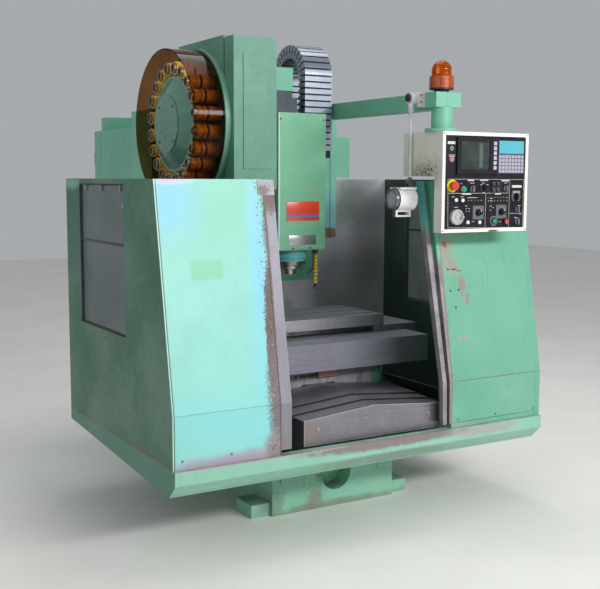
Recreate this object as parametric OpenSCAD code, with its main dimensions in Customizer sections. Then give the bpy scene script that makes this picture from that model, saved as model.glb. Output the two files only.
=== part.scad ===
// Vertical machining centre with an open splash guard, a drum tool magazine
// on the left of the head, a cable chain, telescopic way covers and a pendant
// control. X runs to the right, Y to the back, Z up. The origin is the centre
// of the underside of the base casting.

/* [Base casting] */
// half width of the base under the ways
base_half_w = 330; // [315:1:340]
// half length of the base on the floor
base_half_l = 612; // [600:1:620]
// height of the bed top that carries the rails
bed_top = 480; // [470:1:490]
// front end of the bed's overhanging nose ahead of the origin
bed_front = 880; // [860:1:886]
// half width of the overhanging nose
nose_half_w = 300; // [280:1:310]
// lowest height of the overhanging nose
nose_low = 330; // [325:1:360]
// half width of the pedestal under the column
pedestal_half_w = 400; // [390:1:405]
// front of the pedestal behind the origin
pedestal_front = 150; // [140:1:180]
// half width over the bolting feet
foot_half_w = 425; // [415:1:440]
// thickness of the bolting feet
foot_t = 60; // [40:1:80]
// length of one bolting foot
foot_l = 150; // [120:1:180]
// sideways pitch of the floor bolts
floor_bolt_x = 760; // [756:1:770]
// lengthwise pitch of the floor bolts
floor_bolt_y = 1030; // [1000:1:1050]
// radius of the floor bolt holes
floor_bolt_r = 11; // [9:0.5:14]
// radius of the round core hole in the front face
core_hole_r = 80; // [60:1:90]
// height of the core hole
core_hole_z = 157; // [140:1:180]
// depth of the core hole
core_hole_depth = 90; // [40:1:150]
// centre distance of the two bed rails from the middle
bed_rail_x = 245; // [230:1:255]
// width of a bed rail
bed_rail_w = 50; // [40:1:60]
// height of a bed rail
bed_rail_h = 32; // [28:1:32]

/* [Column] */
// front face of the column behind the origin
column_front = 235; // [232:1:240]
// depth of the column
column_depth = 312; // [300:1:320]
// height of the wide part of the column
column_shoulder = 1840; // [1838:1:1850]
// height of the narrow top of the column
column_top = 2000; // [1990:1:2040]
// half width of the narrow top
column_top_half_w = 250; // [240:1:260]
// outer half width over the side covers
side_cover_half_w = 540; // [530:1:560]
// lowest height of the side covers
side_cover_low = 1196; // [1190:1:1210]
// top height of the side covers
side_cover_top = 1850; // [1840:1:1860]
// depth of the side covers
side_cover_depth = 265; // [250:1:280]
// distance of a head rail's middle from the centre
head_rail_x = 95; // [90:1:98]
// width of a head rail
head_rail_w = 50; // [44:1:52]
// depth of a head rail
head_rail_d = 30; // [26:1:34]
// lowest height of the head rails
head_rail_low = 970; // [965:1:1000]

/* [Drip pan and guard] */
// front edge of the drip pan ahead of the origin
rim_front = 1000; // [998:1:1002]
// left side of the pan and guard
guard_left = 969; // [960:1:975]
// right side of the pan and guard
guard_right = 913; // [905:1:920]
// back of the guard behind the origin
guard_back = 254; // [250:1:258]
// height of the pan rim
rim_z = 401; // [400:1:402]
// height of the pan's upright front face
rim_face = 57; // [50:1:60]
// run and rise of the slanted underside of the rim
rim_bevel = 58; // [50:1:60]
// height of the pan's back edge above its lowest line
pan_rise = 64; // [50:1:66]
// sheet thickness of the pan
pan_t = 4; // [3:0.5:5]
// width of the ledge that carries the guard
ledge_w = 45; // [40:1:48]
// set-back of the guard behind the rim's front face
guard_set = 14.5; // [10:0.5:18]
// height of the bend in the front panels
bend_z = 613; // [600:1:630]
// top height of the guard
guard_top = 1510; // [1500:1:1515]
// how far the front panels lean back from the bend to the top
lean = 160.5; // [150:0.5:170]
// sheet thickness of the front panels
panel_t = 3; // [2:0.5:4]
// thickness of the folded side walls
wall_t = 33; // [28:1:38]
// inner edge of the left front panel
left_panel_edge = 495; // [490:1:500]
// width of the left edge strip
left_strip_w = 48; // [40:1:52]
// top height of the left edge strip
left_strip_top = 1454; // [1440:1:1460]
// inner edge of the right front panel
right_panel_edge = 380; // [378:1:385]
// width over the right door channel
right_channel_w = 78; // [70:1:80]
// width of the right channel at its foot
right_channel_foot_w = 46; // [42:1:60]
// width of one edge of the right door channel
channel_lip_w = 22; // [16:1:26]
// width of the right channel's right lip at its foot
channel_lip_foot_w = 9; // [6:1:14]
// depth of the edge strips
strip_d = 30; // [26:1:34]
// thickness of the web of the right channel
channel_web = 5; // [4:0.5:8]
// lowest height of the edge strips
strip_low = 421; // [415:1:430]
// front of the side windows ahead of the origin
window_front = 502; // [495:1:510]
// back of the side windows behind the origin
window_back = 61; // [55:1:65]
// lowest height of the side windows
window_low = 850; // [840:1:860]
// height of the seam between the two panes
window_seam = 1234; // [1220:1:1250]
// top height of the side windows
window_top = 1488; // [1480:1:1492]
// thickness of a window pane
pane_t = 4; // [3:0.5:6]
// set-back of the panes from the outside of the wall
pane_set = 9; // [6:1:14]
// width of the bar between the panes
pane_bar = 6; // [4:1:10]

/* [Telescopic way cover] */
// how far the fixed front section stands out past the base on each side
cover_side_gap = 26; // [24:1:28]
// side height of the fixed front section
cover_side_z = 511; // [510:1:514]
// ridge height of the fixed front section
cover_ridge_z = 542; // [538:1:544]
// lowest height of the cover sides
cover_low = 402; // [401.5:0.5:410]
// step outward and upward from section to section
cover_step = 6; // [6:0.5:7]
// sheet thickness of the sections
cover_t = 3; // [2:0.5:3]
// how far the fixed section stands ahead of the bed's nose
cover_front_gap = 51; // [45:1:55]
// length of the fixed and of the middle section
cover_len = 268; // [260:1:269]
// how far the middle section starts behind the fixed one
cover_mid_lag = 96; // [94:1:96]
// how far the rear section starts behind the fixed one
cover_rear_lag = 189; // [186:1:190]

/* [Saddle and table] */
// front of the saddle ahead of the origin
saddle_front = 465; // [463:1:467]
// back of the saddle behind the origin
saddle_back = 20; // [10:1:24]
// half width of the saddle
saddle_half_w = 360; // [358:1:362]
// height of the step that carries the apron
saddle_step_z = 758; // [754:1:760]
// top of the saddle casting
saddle_top = 767; // [765:1:770]
// half width of the apron
apron_half_w = 550; // [540:1:560]
// front of the apron ahead of the origin
apron_front = 590; // [580:1:600]
// lowest height of the apron
apron_low = 636; // [630:1:645]
// sheet thickness of the apron and wing covers
sheet_t = 4; // [3:0.5:5]
// half length over the wing covers
wing_half_w = 620; // [600:1:630]
// lowest height of the wing covers
wing_low = 745; // [740:1:750]
// top height of the wing covers
wing_top = 793; // [790:0.5:794.5]
// half length of the table
table_half_l = 420; // [410:1:430]
// front edge of the table ahead of the origin
table_front = 400; // [395:1:400]
// width of the table
table_w = 400; // [390:1:402]
// underside of the table
table_low = 795; // [795:0.5:797]
// top of the table
table_top = 848; // [845:1:852]
// width of a tee slot's mouth
slot_w = 14; // [12:1:18]
// depth of a tee slot's mouth
slot_mouth_d = 13; // [11:1:15]
// width of a tee slot's foot
slot_foot_w = 24; // [22:1:28]
// height of a tee slot's foot
slot_foot_h = 10; // [8:1:12]
// pitch of the tee slots
slot_pitch = 125; // [100:1:130]

/* [Head and spindle] */
// spindle axis ahead of the origin
spindle_y = 185; // [180:1:190]
// front of the head cover ahead of the origin
head_cover_front = 310; // [305:1:315]
// back end of the head cover ahead of the origin
head_cover_back = 112; // [110:1:116]
// half width of the head cover
head_half_w = 130; // [129:0.5:130]
// underside of the head
head_low = 1173; // [1170:1:1176]
// top of the head cover
head_cover_top = 1820; // [1815:1:1825]
// top of the head casting
head_top = 1800; // [1795:1:1805]
// sheet thickness of the head cover
head_cover_t = 3; // [2:0.5:3.5]
// half width of the slide that runs on the head rails
slide_half_w = 136; // [134:0.5:137]
// height of that slide
slide_h = 500; // [460:1:500]
// clearance between the slide and the column face
slide_gap = 5; // [4:0.5:6]
// radius of the spindle housing
housing_r = 87.5; // [84:0.5:90]
// height of the spindle housing
housing_h = 43; // [38:1:48]
// radius of the steel nose ring
nose_ring_r = 80; // [76:0.5:82]
// height of the steel nose ring
nose_ring_h = 33; // [28:1:36]
// radius of the spindle shaft in its bearing
shaft_r = 45; // [40:0.5:48]
// running clearance of a shaft in its bore
run_gap = 0.05; // [0.02:0.01:0.1]
// radius of the spindle's flange
spindle_flange_r = 62; // [55:0.5:66]
// height of the spindle's flange
spindle_flange_h = 16; // [12:1:20]
// radius of the spindle's tip
tip_r = 34.9; // [32:0.1:38]
// height of the spindle's tip
tip_h = 28; // [24:1:32]
// radius of the tool taper at the face
taper_r = 15.875; // [15.875:0.001:22.225]
// depth of the tool taper
taper_depth = 48; // [44:1:56]
// half width of the spindle motor
motor_half_w = 65; // [60:1:70]
// front of the motor ahead of the origin
motor_front = 100; // [95:1:105]
// depth of the spindle motor
motor_depth = 130; // [120:1:140]
// height of the grey motor body
motor_h = 140; // [130:1:150]
// height of the fan cap on the motor
motor_cap_h = 111; // [100:1:115]

/* [Cable chain] */
// left side of the chain
chain_x = 139; // [138.8:0.1:142]
// width of the chain
chain_w = 159; // [150:1:160]
// outer radius of the chain's arch
chain_r = 165; // [160:1:165]
// height of one link
chain_link_h = 65; // [60:1:66]
// height of the arch's centre
chain_arch_z = 2018; // [2010:1:2025]
// lower end of the strand at the head
chain_head_end = 1617; // [1610:1:1625]
// lower end of the strand at the column
chain_column_end = 1700; // [1690:1:1710]
// number of links round the arch
chain_arch_links = 15; // [11:1:19]
// groove between two links
chain_groove = 8; // [6:0.5:10]

/* [Tool magazine] */
// height of the drum's axis
drum_z = 1754; // [1750:1:1758]
// outer radius of the magazine ring
ring_r = 340; // [336:1:342]
// width of the magazine ring
ring_w = 28; // [24:1:30]
// outer radius of the clear shroud
shroud_r = 332; // [328:1:334]
// wall thickness of the clear shroud
shroud_t = 4; // [3:0.5:5]
// length of the clear shroud
shroud_l = 146; // [140:1:150]
// number of tool pots
pot_count = 20; // [12:2:20]
// radius of the circle through the pots
pot_circle_r = 249; // [248:1:252]
// radius of a tool pot
pot_r = 30; // [28:0.5:31]
// length of a tool pot
pot_l = 130; // [120:1:132]
// length of the steel socket ring on a pot
socket_l = 10; // [8:1:12]
// radius of the bore in a socket ring
socket_bore_r = 18; // [16:0.5:20]
// outer radius of the ring in a pot's mouth
socket_ring_r = 24.5; // [23:0.5:26]
// flat-to-centre radius of the drum's rim
drum_rim_r = 214; // [212:0.5:215]
// radius of the drum's flat front disc
drum_disc_r = 138; // [130:1:145]
// depth of the drum's cone
drum_cone_l = 36; // [30:1:40]
// left side of the magazine's carrier plate
carrier_left = 481; // [480:1:482]
// thickness of the carrier plate
carrier_t = 30; // [26:1:34]
// lowest height of the carrier plate and the front cover
carrier_low = 1466; // [1460:1:1470]
// top height of the carrier plate
carrier_top = 2128; // [2120:1:2135]
// front of the magazine's front cover ahead of the origin
mag_cover_front = 545; // [540:1:550]
// depth of that cover
mag_cover_d = 85; // [80:1:88]
// right side of that cover
mag_cover_right = 272; // [268:1:276]
// top height of that cover
mag_cover_top = 2118; // [2110:1:2125]
// edge of the drive cover that stays round its raised panel, left, right, below and above
mag_panel_left = 45; // [35:1:55]
// the same on the right
mag_panel_right = 34; // [25:1:45]
// the same below
mag_panel_low = 88; // [70:1:100]
// the same above
mag_panel_top = 74; // [60:1:90]
// lowest bolt of the drive box above the foot of its carrier
drive_bolt_up = 74; // [60:1:90]
// spacing of the drive box's bolts
drive_bolt_pitch = 155; // [145:1:160]
// how far the drive box stays below the top of its carrier
drive_drop = 78; // [70:1:90]
// right side of the drive box
drive_right = 300; // [296:1:305]
// reach of the tool-change arm from its shaft
arm_reach = 278; // [270:1:280]
// height of the change arm's underside
arm_z = 1350; // [1340:1:1360]
// thickness of the change arm
arm_t = 30; // [24:1:34]

/* [Electrical cabinet] */
// half width of the cabinet
cabinet_half_w = 500; // [480:1:505]
// depth of the cabinet
cabinet_depth = 626; // [600:1:640]
// lowest height of the cabinet
cabinet_low = 480; // [480:1:520]
// top height of the cabinet
cabinet_top = 1778; // [1770:1:1785]
// wall thickness of the cabinet
cabinet_wall = 5; // [4:0.5:8]
// thickness of a cabinet door
door_t = 20; // [16:1:24]
// height of the fan box on the cabinet
fan_box_h = 72; // [60:1:80]
// how far the fan box stays inside the cabinet's sides
fan_box_side = 20; // [12:1:40]
// depth of the fan box
fan_box_l = 115; // [100:1:130]
// how far the fan box stays in front of the cabinet's back edge
fan_box_set = 48; // [40:1:60]

/* [Pendant arm, lamp and beacon] */
// left side of the arm's head
arm_head_left = 259; // [256:1:262]
// right side of the arm's head
arm_head_right = 394; // [390:1:398]
// front of the arm's head ahead of the origin
arm_head_front = 988; // [985:1:990]
// depth of the arm's head
arm_head_d = 77; // [75:1:80]
// underside of the arm's head
arm_head_low = 1820; // [1819:1:1822]
// height of the arm's head
arm_head_h = 64; // [60:1:68]
// left side of the arm's beam
beam_left = 312; // [308:1:315]
// width of the arm's beam
beam_w = 75; // [70:1:78]
// height of the arm's beam
beam_h = 74; // [70:1:76]
// underside of the arm's beam
beam_low = 1815; // [1812:1:1818]
// beacon axis, sideways
beacon_x = 320; // [315:1:325]
// beacon axis ahead of the origin
beacon_y = 945; // [942:1:950]
// radius of the beacon's foot
beacon_foot_r = 33; // [28:0.5:33.5]
// radius of the beacon's base ring
beacon_ring_r = 53; // [50:1:55]
// radius of the beacon's dome
beacon_dome_r = 45; // [42:1:48]
// height of the beacon's base ring
beacon_ring_h = 56; // [50:1:60]
// height of the beacon's dome
beacon_dome_h = 69; // [64:1:74]
// wall thickness of the dome
beacon_wall = 3; // [2:0.5:4]
// height of the lamp's upper pivot
lamp_pivot_z = 1866; // [1862:1:1870]
// lamp pivot ahead of the origin
lamp_y = 821; // [818:1:824]
// sideways place of the lamp's rod
lamp_rod_x = 250; // [248:0.5:251]
// radius of the lamp's rod
lamp_rod_r = 7; // [6:0.5:8]
// height of the lamp's lower pivot
lamp_joint_z = 1503; // [1498:1:1508]
// lens end of the lamp's body
lamp_lens_x = 150; // [146:1:154]
// back end of the lamp's body
lamp_back_x = 260; // [255:1:261]
// radius of the lamp's body
lamp_r = 50; // [46:1:52]
// height of the lamp body's axis
lamp_body_z = 1424; // [1420:1:1428]

/* [Pendant control] */
// left side of the pendant
pendant_left = 268; // [267:0.5:269]
// width of the pendant
pendant_w = 489; // [480:1:495]
// front plane of the pendant ahead of the origin
pendant_front = 1028; // [1024:1:1032]
// lowest height of the pendant
pendant_low = 1282; // [1276:1:1290]
// top height of the pendant
pendant_top = 1716; // [1716:1:1720]
// depth of the pendant's lower part
pendant_thin_d = 53; // [50:1:56]
// depth of the pendant's upper part
pendant_deep_d = 278; // [260:1:282]
// height where the deep part begins
pendant_deep_z = 1525; // [1520:1:1535]
// wall thickness of the pendant
pendant_wall = 3; // [2:0.5:4]
// width of the frame round the control face
pendant_frame_w = 16; // [14:0.5:20]
// thickness of the control face
face_t = 6; // [5:0.5:8]
// set-back of the control face behind the frame
face_set = 4; // [3:0.5:6]
// sideways place of the pendant's post
post_x = 322; // [318:1:326]
// pendant's post ahead of the origin
post_y = 949; // [946:1:952]
// radius of the pendant's post
post_r = 46; // [42:1:48]
// radius of the flange under the post
post_flange_r = 73; // [65:1:74]
// radius of the emergency stop's mushroom
stop_r = 19; // [16:0.5:22]
// radius of the handwheel
handwheel_r = 33; // [28:0.5:36]
// radius of a dial knob
knob_r = 13; // [10:0.5:15]
// radius of a push button
button_r = 11; // [9:0.5:12]
// travel of a push button
button_travel = 4; // [3:0.5:5]

/* [Hidden] */
$fn = 64;

// colours as the photograph shows them
green = "#6fa58a";
mint = "#a3d6c6";
teal = "#6fb0a8";
steel = "#9b99a2";
dull_steel = "#858079";
cream = "#d8d4c8";
black = "#2b2a33";
yellow = "#dca800";
rust = "#8a6a5e";

// small clearances used in several places
bite = 0.3;
thru = 1;

// derived places
column_back = column_front + column_depth;
head_rail_front = column_front - head_rail_d;
slide_back = column_front - slide_gap;
pan_low = rim_z - rim_face - rim_bevel;
pan_slope_y = rim_front - rim_bevel;
cover_half_w = base_half_w + cover_side_gap;
cover_front_y = bed_front + cover_front_gap;
core_pad_x = 265;
cover_rib_t = 4;
shaft_drum_r = 40;
left_wall_in = guard_left - wall_t;
right_wall_in = guard_right - wall_t;
channel_left = right_panel_edge - right_channel_w;
ring_left = carrier_left + ring_w;
shroud_left = ring_left + shroud_l;
pot_back_x = ring_left - 17;
pot_front_x = pot_back_x + pot_l;
pot_pitch = 360 / pot_count;
drum_front_x = pot_front_x - socket_l;
chain_mid_y = column_front - slide_gap - chain_r;
chain_inner_r = chain_r - chain_link_h;
face_front = pendant_front - face_set;
face_back = face_front - face_t;
mag_cover_back = mag_cover_front - mag_cover_d;
carrier_front = mag_cover_back - 12;
drive_front = 400;
change_x = -carrier_left + 203;

// places across and up the control face, measured from its lower left corner
function on_face(x, z) = [pendant_left + x, pendant_low + z];
stop_place = on_face(57, 202);
start_place = on_face(296, 47);
hold_place = on_face(368, 43);
mode_place = on_face(239, 195);
feed_place = on_face(206, 86);
rapid_place = on_face(339, 88);
wheel_place = on_face(80, 68);
lit_place = on_face(122, 188);
lamp_place = on_face(50, 317);
dial_places = [feed_place, rapid_place];
plain_button_places = [on_face(79, 141), on_face(116, 140), on_face(147, 44), on_face(214, 43)];
selector_places = [on_face(170, 189), on_face(363, 190), on_face(427, 153), on_face(434, 98),
    on_face(436, 42)];
switch_x = [pendant_left + 278, pendant_left + 332];
switch_z = [pendant_low + 171, pendant_low + 225];
bezel_x = [pendant_left + 78, pendant_left + 310];
bezel_z = [pendant_low + 253, pendant_low + 411];
screen_x = [pendant_left + 100, pendant_left + 261];
screen_z = [pendant_low + 273, pendant_low + 395];
keys_x = [pendant_left + 312, pendant_left + 463];
keys_z = [pendant_low + 258, pendant_low + 403];

// a block between two places on each axis
module block(x, y, z) {
    translate([x[0], y[0], z[0]])
        cube([x[1] - x[0], y[1] - y[0], z[1] - z[0]]);
}

// round bars along each axis; a and b are the two other places
module bar_x(x, y, z, r) {
    translate([x[0], y, z])
        rotate([0, 90, 0])
            cylinder(h = x[1] - x[0], r = r);
}

module bar_y(x, y, z, r) {
    translate([x, y[1], z])
        rotate([90, 0, 0])
            cylinder(h = y[1] - y[0], r = r);
}

module bar_z(x, y, z, r) {
    translate([x, y, z[0]])
        cylinder(h = z[1] - z[0], r = r);
}

// an outline in Y and Z, drawn out along X
module along_x(x) {
    translate([x[0], 0, 0])
        rotate([90, 0, 90])
            linear_extrude(x[1] - x[0])
                children();
}

// an outline in X and Z, drawn out along Y
module along_y(y) {
    translate([0, y[1], 0])
        rotate([90, 0, 0])
            linear_extrude(y[1] - y[0])
                children();
}

// a hexagon bolt head standing on a face that looks to the front
module bolt_front(x, y, z, r) {
    translate([x, y, z])
        rotate([90, 0, 0])
            cylinder(h = r * 0.7, r = r, $fn = 6);
}

// base casting with feet, bed rails and the round core hole in its front
module base_casting() {
    foot_y = floor_bolt_y / 2;
    pocket_in = 20;
    pocket_h = 120;
    core_pad_r = 24;
    core_pad_t = 6;
    rail_inset = 12;
    nose_root = pan_floor(-base_half_l) + pan_t + 3;
    color(green)
        difference() {
            union() {
                along_x([-base_half_w, base_half_w])
                    polygon([[-base_half_l, 0], [base_half_l, 0], [base_half_l, bed_top],
                        [-base_half_l, bed_top]]);
                along_x([-nose_half_w, nose_half_w])
                    polygon([[-base_half_l + bite, nose_root], [-base_half_l + bite, bed_top],
                        [-bed_front, bed_top], [-bed_front, nose_low + 15]]);
                block([-pedestal_half_w, pedestal_half_w], [pedestal_front, base_half_l], [0, bed_top]);
                for (side = [-1, 1])
                    for (end = [-1, 1])
                        translate([side * (foot_half_w + base_half_w) / 2, end * foot_y, foot_t / 2])
                            cube([foot_half_w - base_half_w, foot_l, foot_t], center = true);
                for (side = [-1, 1])
                    bar_y(side * core_pad_x, [-base_half_l - core_pad_t, -base_half_l + bite],
                        core_hole_z, core_pad_r);
                for (side = [-1, 1])
                    translate([side * bed_rail_x, 0, bed_top])
                        translate([-bed_rail_w / 2, -bed_front + rail_inset, -bite])
                            cube([bed_rail_w, bed_front + column_front - 2 * rail_inset, bed_rail_h + bite]);
            }
            bar_y(9, [-base_half_l - thru, -base_half_l + core_hole_depth], core_hole_z, core_hole_r);
            for (side = [-1, 1])
                translate([side * (foot_half_w + base_half_w + pocket_in) / 2, foot_y, foot_t + pocket_h / 2])
                    cube([foot_half_w - base_half_w - pocket_in, foot_l, pocket_h], center = true);
            for (side = [-1, 1])
                for (end = [-1, 1])
                    translate([side * floor_bolt_x / 2, end * foot_y, -thru])
                        cylinder(h = foot_t + 2 * thru, r = floor_bolt_r);
        }
}

// column with its two head rails and the guide plate of the cable chain
module column() {
    color(green) {
        block([-pedestal_half_w, pedestal_half_w], [column_front, column_back],
            [bed_top, column_shoulder]);
        block([-column_top_half_w, column_top_half_w], [column_front, column_back],
            [column_shoulder, column_top]);
        block([chain_x, chain_x + chain_w], [slide_back, column_front],
            [chain_column_end - 60, column_top - 10]);
    }
    color(steel)
        for (side = [-1, 1])
            translate([side * head_rail_x - head_rail_w / 2, head_rail_front, head_rail_low])
                cube([head_rail_w, head_rail_d, column_top - 10 - head_rail_low]);
}

// folded covers on both sides of the column, with the junction box on the right
module column_covers() {
    rib_pitch = 42;
    rib_w = 10;
    rib_inset = 6;
    box_low = 1520;
    box_top = 1737;
    box_right = 640;
    color(green) {
        for (side = [0, 1])
            mirror([side, 0, 0]) {
                block([pedestal_half_w, side_cover_half_w], [column_front, column_front + side_cover_depth],
                    [side_cover_low, side_cover_top]);
                for (rib = [0:2])
                    translate([pedestal_half_w + 16 + rib * rib_pitch, column_front - cover_rib_t,
                        side_cover_low + rib_inset])
                        cube([rib_w, cover_rib_t + bite, side_cover_top - side_cover_low - 2 * rib_inset]);
            }
        block([side_cover_half_w, box_right], [column_front + 20, column_front + 215], [box_low, box_top]);
    }
}

// drip pan: slanted front underside, sloping floor, ledge round the top
module drip_pan() {
    back_low = pan_low + pan_rise;
    t = pan_t;
    color(green)
        difference() {
            along_x([-guard_left, guard_right])
                polygon([[-rim_front, rim_z], [-rim_front, rim_z - rim_face],
                    [-pan_slope_y, pan_low], [guard_back, back_low], [guard_back, rim_z]]);
            along_x([-guard_left + t, guard_right - t])
                polygon([[-rim_front + t, rim_z - t], [-rim_front + t, rim_z - rim_face + t / 2],
                    [-pan_slope_y + t / 2, pan_low + t], [guard_back - t, back_low + t],
                    [guard_back - t, rim_z - t]]);
            block([-guard_left + ledge_w, guard_right - ledge_w],
                [-rim_front + ledge_w, guard_back - t], [rim_z - t - thru, rim_z + thru]);
            block([-base_half_w, base_half_w], [-base_half_l, guard_back - t],
                [pan_low - thru, rim_z + thru]);
            block([-pedestal_half_w, pedestal_half_w], [pedestal_front, guard_back + thru],
                [pan_low - thru, rim_z + thru]);
        }
}

// height of the sloping pan floor's underside at a distance from the origin
function pan_floor(y) = pan_low + pan_rise * (y + pan_slope_y) / (guard_back + pan_slope_y);

// distance of the guard's front surface from the origin at a height
function guard_front(z) = z < bend_z ? -rim_front + guard_set
    : -rim_front + guard_set + lean * (z - bend_z) / (guard_top - bend_z);

// a bent band that follows the guard's front from one height to another
module guard_band(x, depth, z) {
    low = [for (d = depth) [guard_front(z[0]) + d, z[0]]];
    top = [for (d = depth) [guard_front(z[1]) + d, z[1]]];
    bend = z[0] < bend_z ? [for (d = depth) [guard_front(bend_z) + d, bend_z]] : [];
    along_x(x)
        polygon(len(bend) > 0 ? [low[0], bend[0], top[0], top[1], bend[1], low[1]]
            : [low[0], top[0], top[1], low[1]]);
}

// a side wall of the guard with its window opening
module side_wall(x) {
    difference() {
        along_x(x)
            polygon([[guard_front(rim_z) + panel_t, rim_z], [guard_front(bend_z) + panel_t, bend_z],
                [guard_front(guard_top) + panel_t, guard_top], [guard_back, guard_top],
                [guard_back, rim_z]]);
        block([x[0] - thru, x[1] + thru], [-window_front, window_back], [window_low, window_top]);
    }
}

// two panes with a bar between them
module side_window(x) {
    bar = pane_bar / 2;
    color([0.75, 0.8, 0.82, 0.45]) {
        block(x, [-window_front, window_back], [window_low, window_seam - bar]);
        block(x, [-window_front, window_back], [window_seam + bar, window_top]);
    }
    color(steel)
        block([x[0] - 2, x[1] + 2], [-window_front, window_back], [window_seam - bar, window_seam + bar]);
}

module left_side_panel() {
    color(green)
        side_wall([-guard_left, -left_wall_in]);
}

module right_side_panel() {
    color(green)
        side_wall([right_wall_in, guard_right]);
}

module left_window() {
    side_window([-guard_left + pane_set, -guard_left + pane_set + pane_t]);
}

module right_window() {
    side_window([guard_right - pane_set - pane_t, guard_right - pane_set]);
}

// left front panel with the folded flange behind its inner edge
module left_front_panel() {
    flange_w = 5;
    color(mint) {
        guard_band([-guard_left, -left_panel_edge], [0, panel_t], [rim_z, guard_top]);
        guard_band([-left_panel_edge - flange_w, -left_panel_edge], [0, strip_d], [rim_z, guard_top]);
    }
}

module right_front_panel() {
    flange_w = 5;
    color(green) {
        guard_band([right_panel_edge, guard_right], [0, panel_t], [rim_z, guard_top]);
        guard_band([right_panel_edge, right_panel_edge + flange_w], [0, strip_d], [rim_z, guard_top]);
    }
}

// bare steel strip down the left side of the opening
module left_edge_strip() {
    color(steel)
        guard_band([-left_panel_edge, -left_panel_edge + left_strip_w], [0, strip_d],
            [strip_low, left_strip_top]);
}

// bracket with a hole, over the top of the left strip
module corner_bracket() {
    bracket_low = 1446;
    bracket_t = 4;
    reach_l = 26;
    hole_r = 7;
    color(rust)
        difference() {
            guard_band([-left_panel_edge - reach_l, -left_panel_edge + left_strip_w],
                [-bracket_t, 0], [bracket_low, guard_top - 2]);
            bar_y(-left_panel_edge + left_strip_w / 2, [-rim_front, -rim_front + 400], 1482, hole_r);
        }
    color(rust)
        guard_band([-left_panel_edge, -left_panel_edge + left_strip_w], [-1, strip_d],
            [left_strip_top, guard_top - 2]);
}

// door channel down the right side of the opening, two lips on a web
module right_edge_strip() {
    z = [strip_low, guard_top - 6];
    foot_left = right_panel_edge - right_channel_foot_w;
    right = [right_panel_edge, right_panel_edge];
    color(steel)
        channel_part([foot_left, channel_left], right, [strip_d - channel_web, strip_d], z);
    color(teal)
        channel_part([foot_left, channel_left], [foot_left + channel_lip_w, channel_left + channel_lip_w],
            [0, strip_d - channel_web], z);
    color(green)
        channel_part([right_panel_edge - channel_lip_foot_w, right_panel_edge - channel_lip_w], right,
            [0, strip_d - channel_web], z);
}

// a part of the channel between two leaning lines, each given by its foot and its top
module channel_part(left, right, depth, z) {
    intersection() {
        guard_band([min(left), max(right)], depth, z);
        along_y([-rim_front - thru, guard_back])
            polygon([[left[0], z[0] - thru], [left[1], z[1] + thru], [right[1], z[1] + thru], [right[0], z[0] - thru]]);
    }
}

// sheet behind the table, stepped forward round the column
module rear_splash_sheet() {
    step_y = column_front - 6;
    mid_low = bed_top + 40;
    mid_top = head_rail_low - 5;
    t = pan_t;
    color(dull_steel) {
        difference() {
            block([-left_wall_in, right_wall_in], [guard_back - t, guard_back], [rim_z, guard_top]);
            block([-pedestal_half_w, pedestal_half_w], [guard_back - t - thru, guard_back + thru],
                [rim_z - thru, guard_top + thru]);
            block([-side_cover_half_w, side_cover_half_w], [guard_back - t - thru, guard_back + thru],
                [side_cover_low, guard_top + thru]);
        }
        difference() {
            block([-pedestal_half_w - t, pedestal_half_w + t], [step_y, guard_back], [mid_low, mid_top]);
            block([-pedestal_half_w, pedestal_half_w], [column_front, guard_back + thru],
                [mid_low - thru, mid_top + thru]);
        }
    }
}

// outline of a gabled way cover; grow pushes it out and up
module gable(grow, low) {
    w = cover_half_w + grow;
    polygon([[-w, low], [-w, cover_side_z + grow], [0, cover_ridge_z + grow],
        [w, cover_side_z + grow], [w, low]]);
}

// one section of the way cover, with a lip that hangs down at its front
module cover_section(front, back, grow, lip) {
    lip_l = 8;
    difference() {
        along_y([front, back])
            gable(grow, cover_low);
        along_y([front + lip_l, back + thru])
            gable(grow - cover_t, cover_low - thru);
        along_y([front - thru, front + lip_l + thru])
            gable(grow - lip, cover_low - thru);
    }
}

// fixed front section, closed by an end plate with two screws
module way_cover_front() {
    front = -cover_front_y;
    screw_x = 290;
    screw_z = 470;
    color(dull_steel) {
        cover_section(front, front + cover_len, 0, cover_t);
        along_y([front, front + cover_t])
            gable(0, cover_low);
        for (side = [-1, 1])
            bolt_front(side * screw_x, front, screw_z, 7);
    }
}

module way_cover_middle() {
    front = -cover_front_y + cover_mid_lag;
    color(dull_steel)
        cover_section(front, front + cover_len, cover_step, cover_step - bite);
}

// rear section with the flange that bolts to the saddle
module way_cover_rear() {
    front = -cover_front_y + cover_rear_lag;
    flange_t = 3;
    color(dull_steel) {
        cover_section(front, -saddle_front, 2 * cover_step, 2 * cover_step - cover_step - bite);
        difference() {
            along_y([-saddle_front - flange_t, -saddle_front])
                gable(2 * cover_step, cover_low);
            along_y([-saddle_front - flange_t - thru, -saddle_front + thru])
                gable(-cover_t, cover_low - thru);
        }
    }
}

// saddle on the bed rails, with the table rails on top
module saddle() {
    rail_y = [-315, -85];
    rail_w = 50;
    screw_gap_w = 90;
    front = -saddle_front;
    color(green)
        difference() {
            union() {
                block([-saddle_half_w, saddle_half_w], [front, saddle_back],
                    [bed_top + bed_rail_h, saddle_step_z]);
                block([-saddle_half_w, saddle_half_w], [-table_front, saddle_back],
                    [saddle_step_z, saddle_top]);
            }
            block([-screw_gap_w, screw_gap_w], [front - thru, saddle_back + thru],
                [bed_top, bed_top + bed_rail_h + 40]);
        }
    color(steel)
        for (y = rail_y)
            block([-saddle_half_w, saddle_half_w], [y - rail_w / 2, y + rail_w / 2],
                [saddle_top, table_low]);
    color(dull_steel)
        for (x = [-320, -210, 120, 230, 330])
            bolt_front(x, front, 596, 11);
    color(yellow)
        for (x = [-120, -90])
            bar_y(x, [front - 14, front], 590, 7);
}

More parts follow.
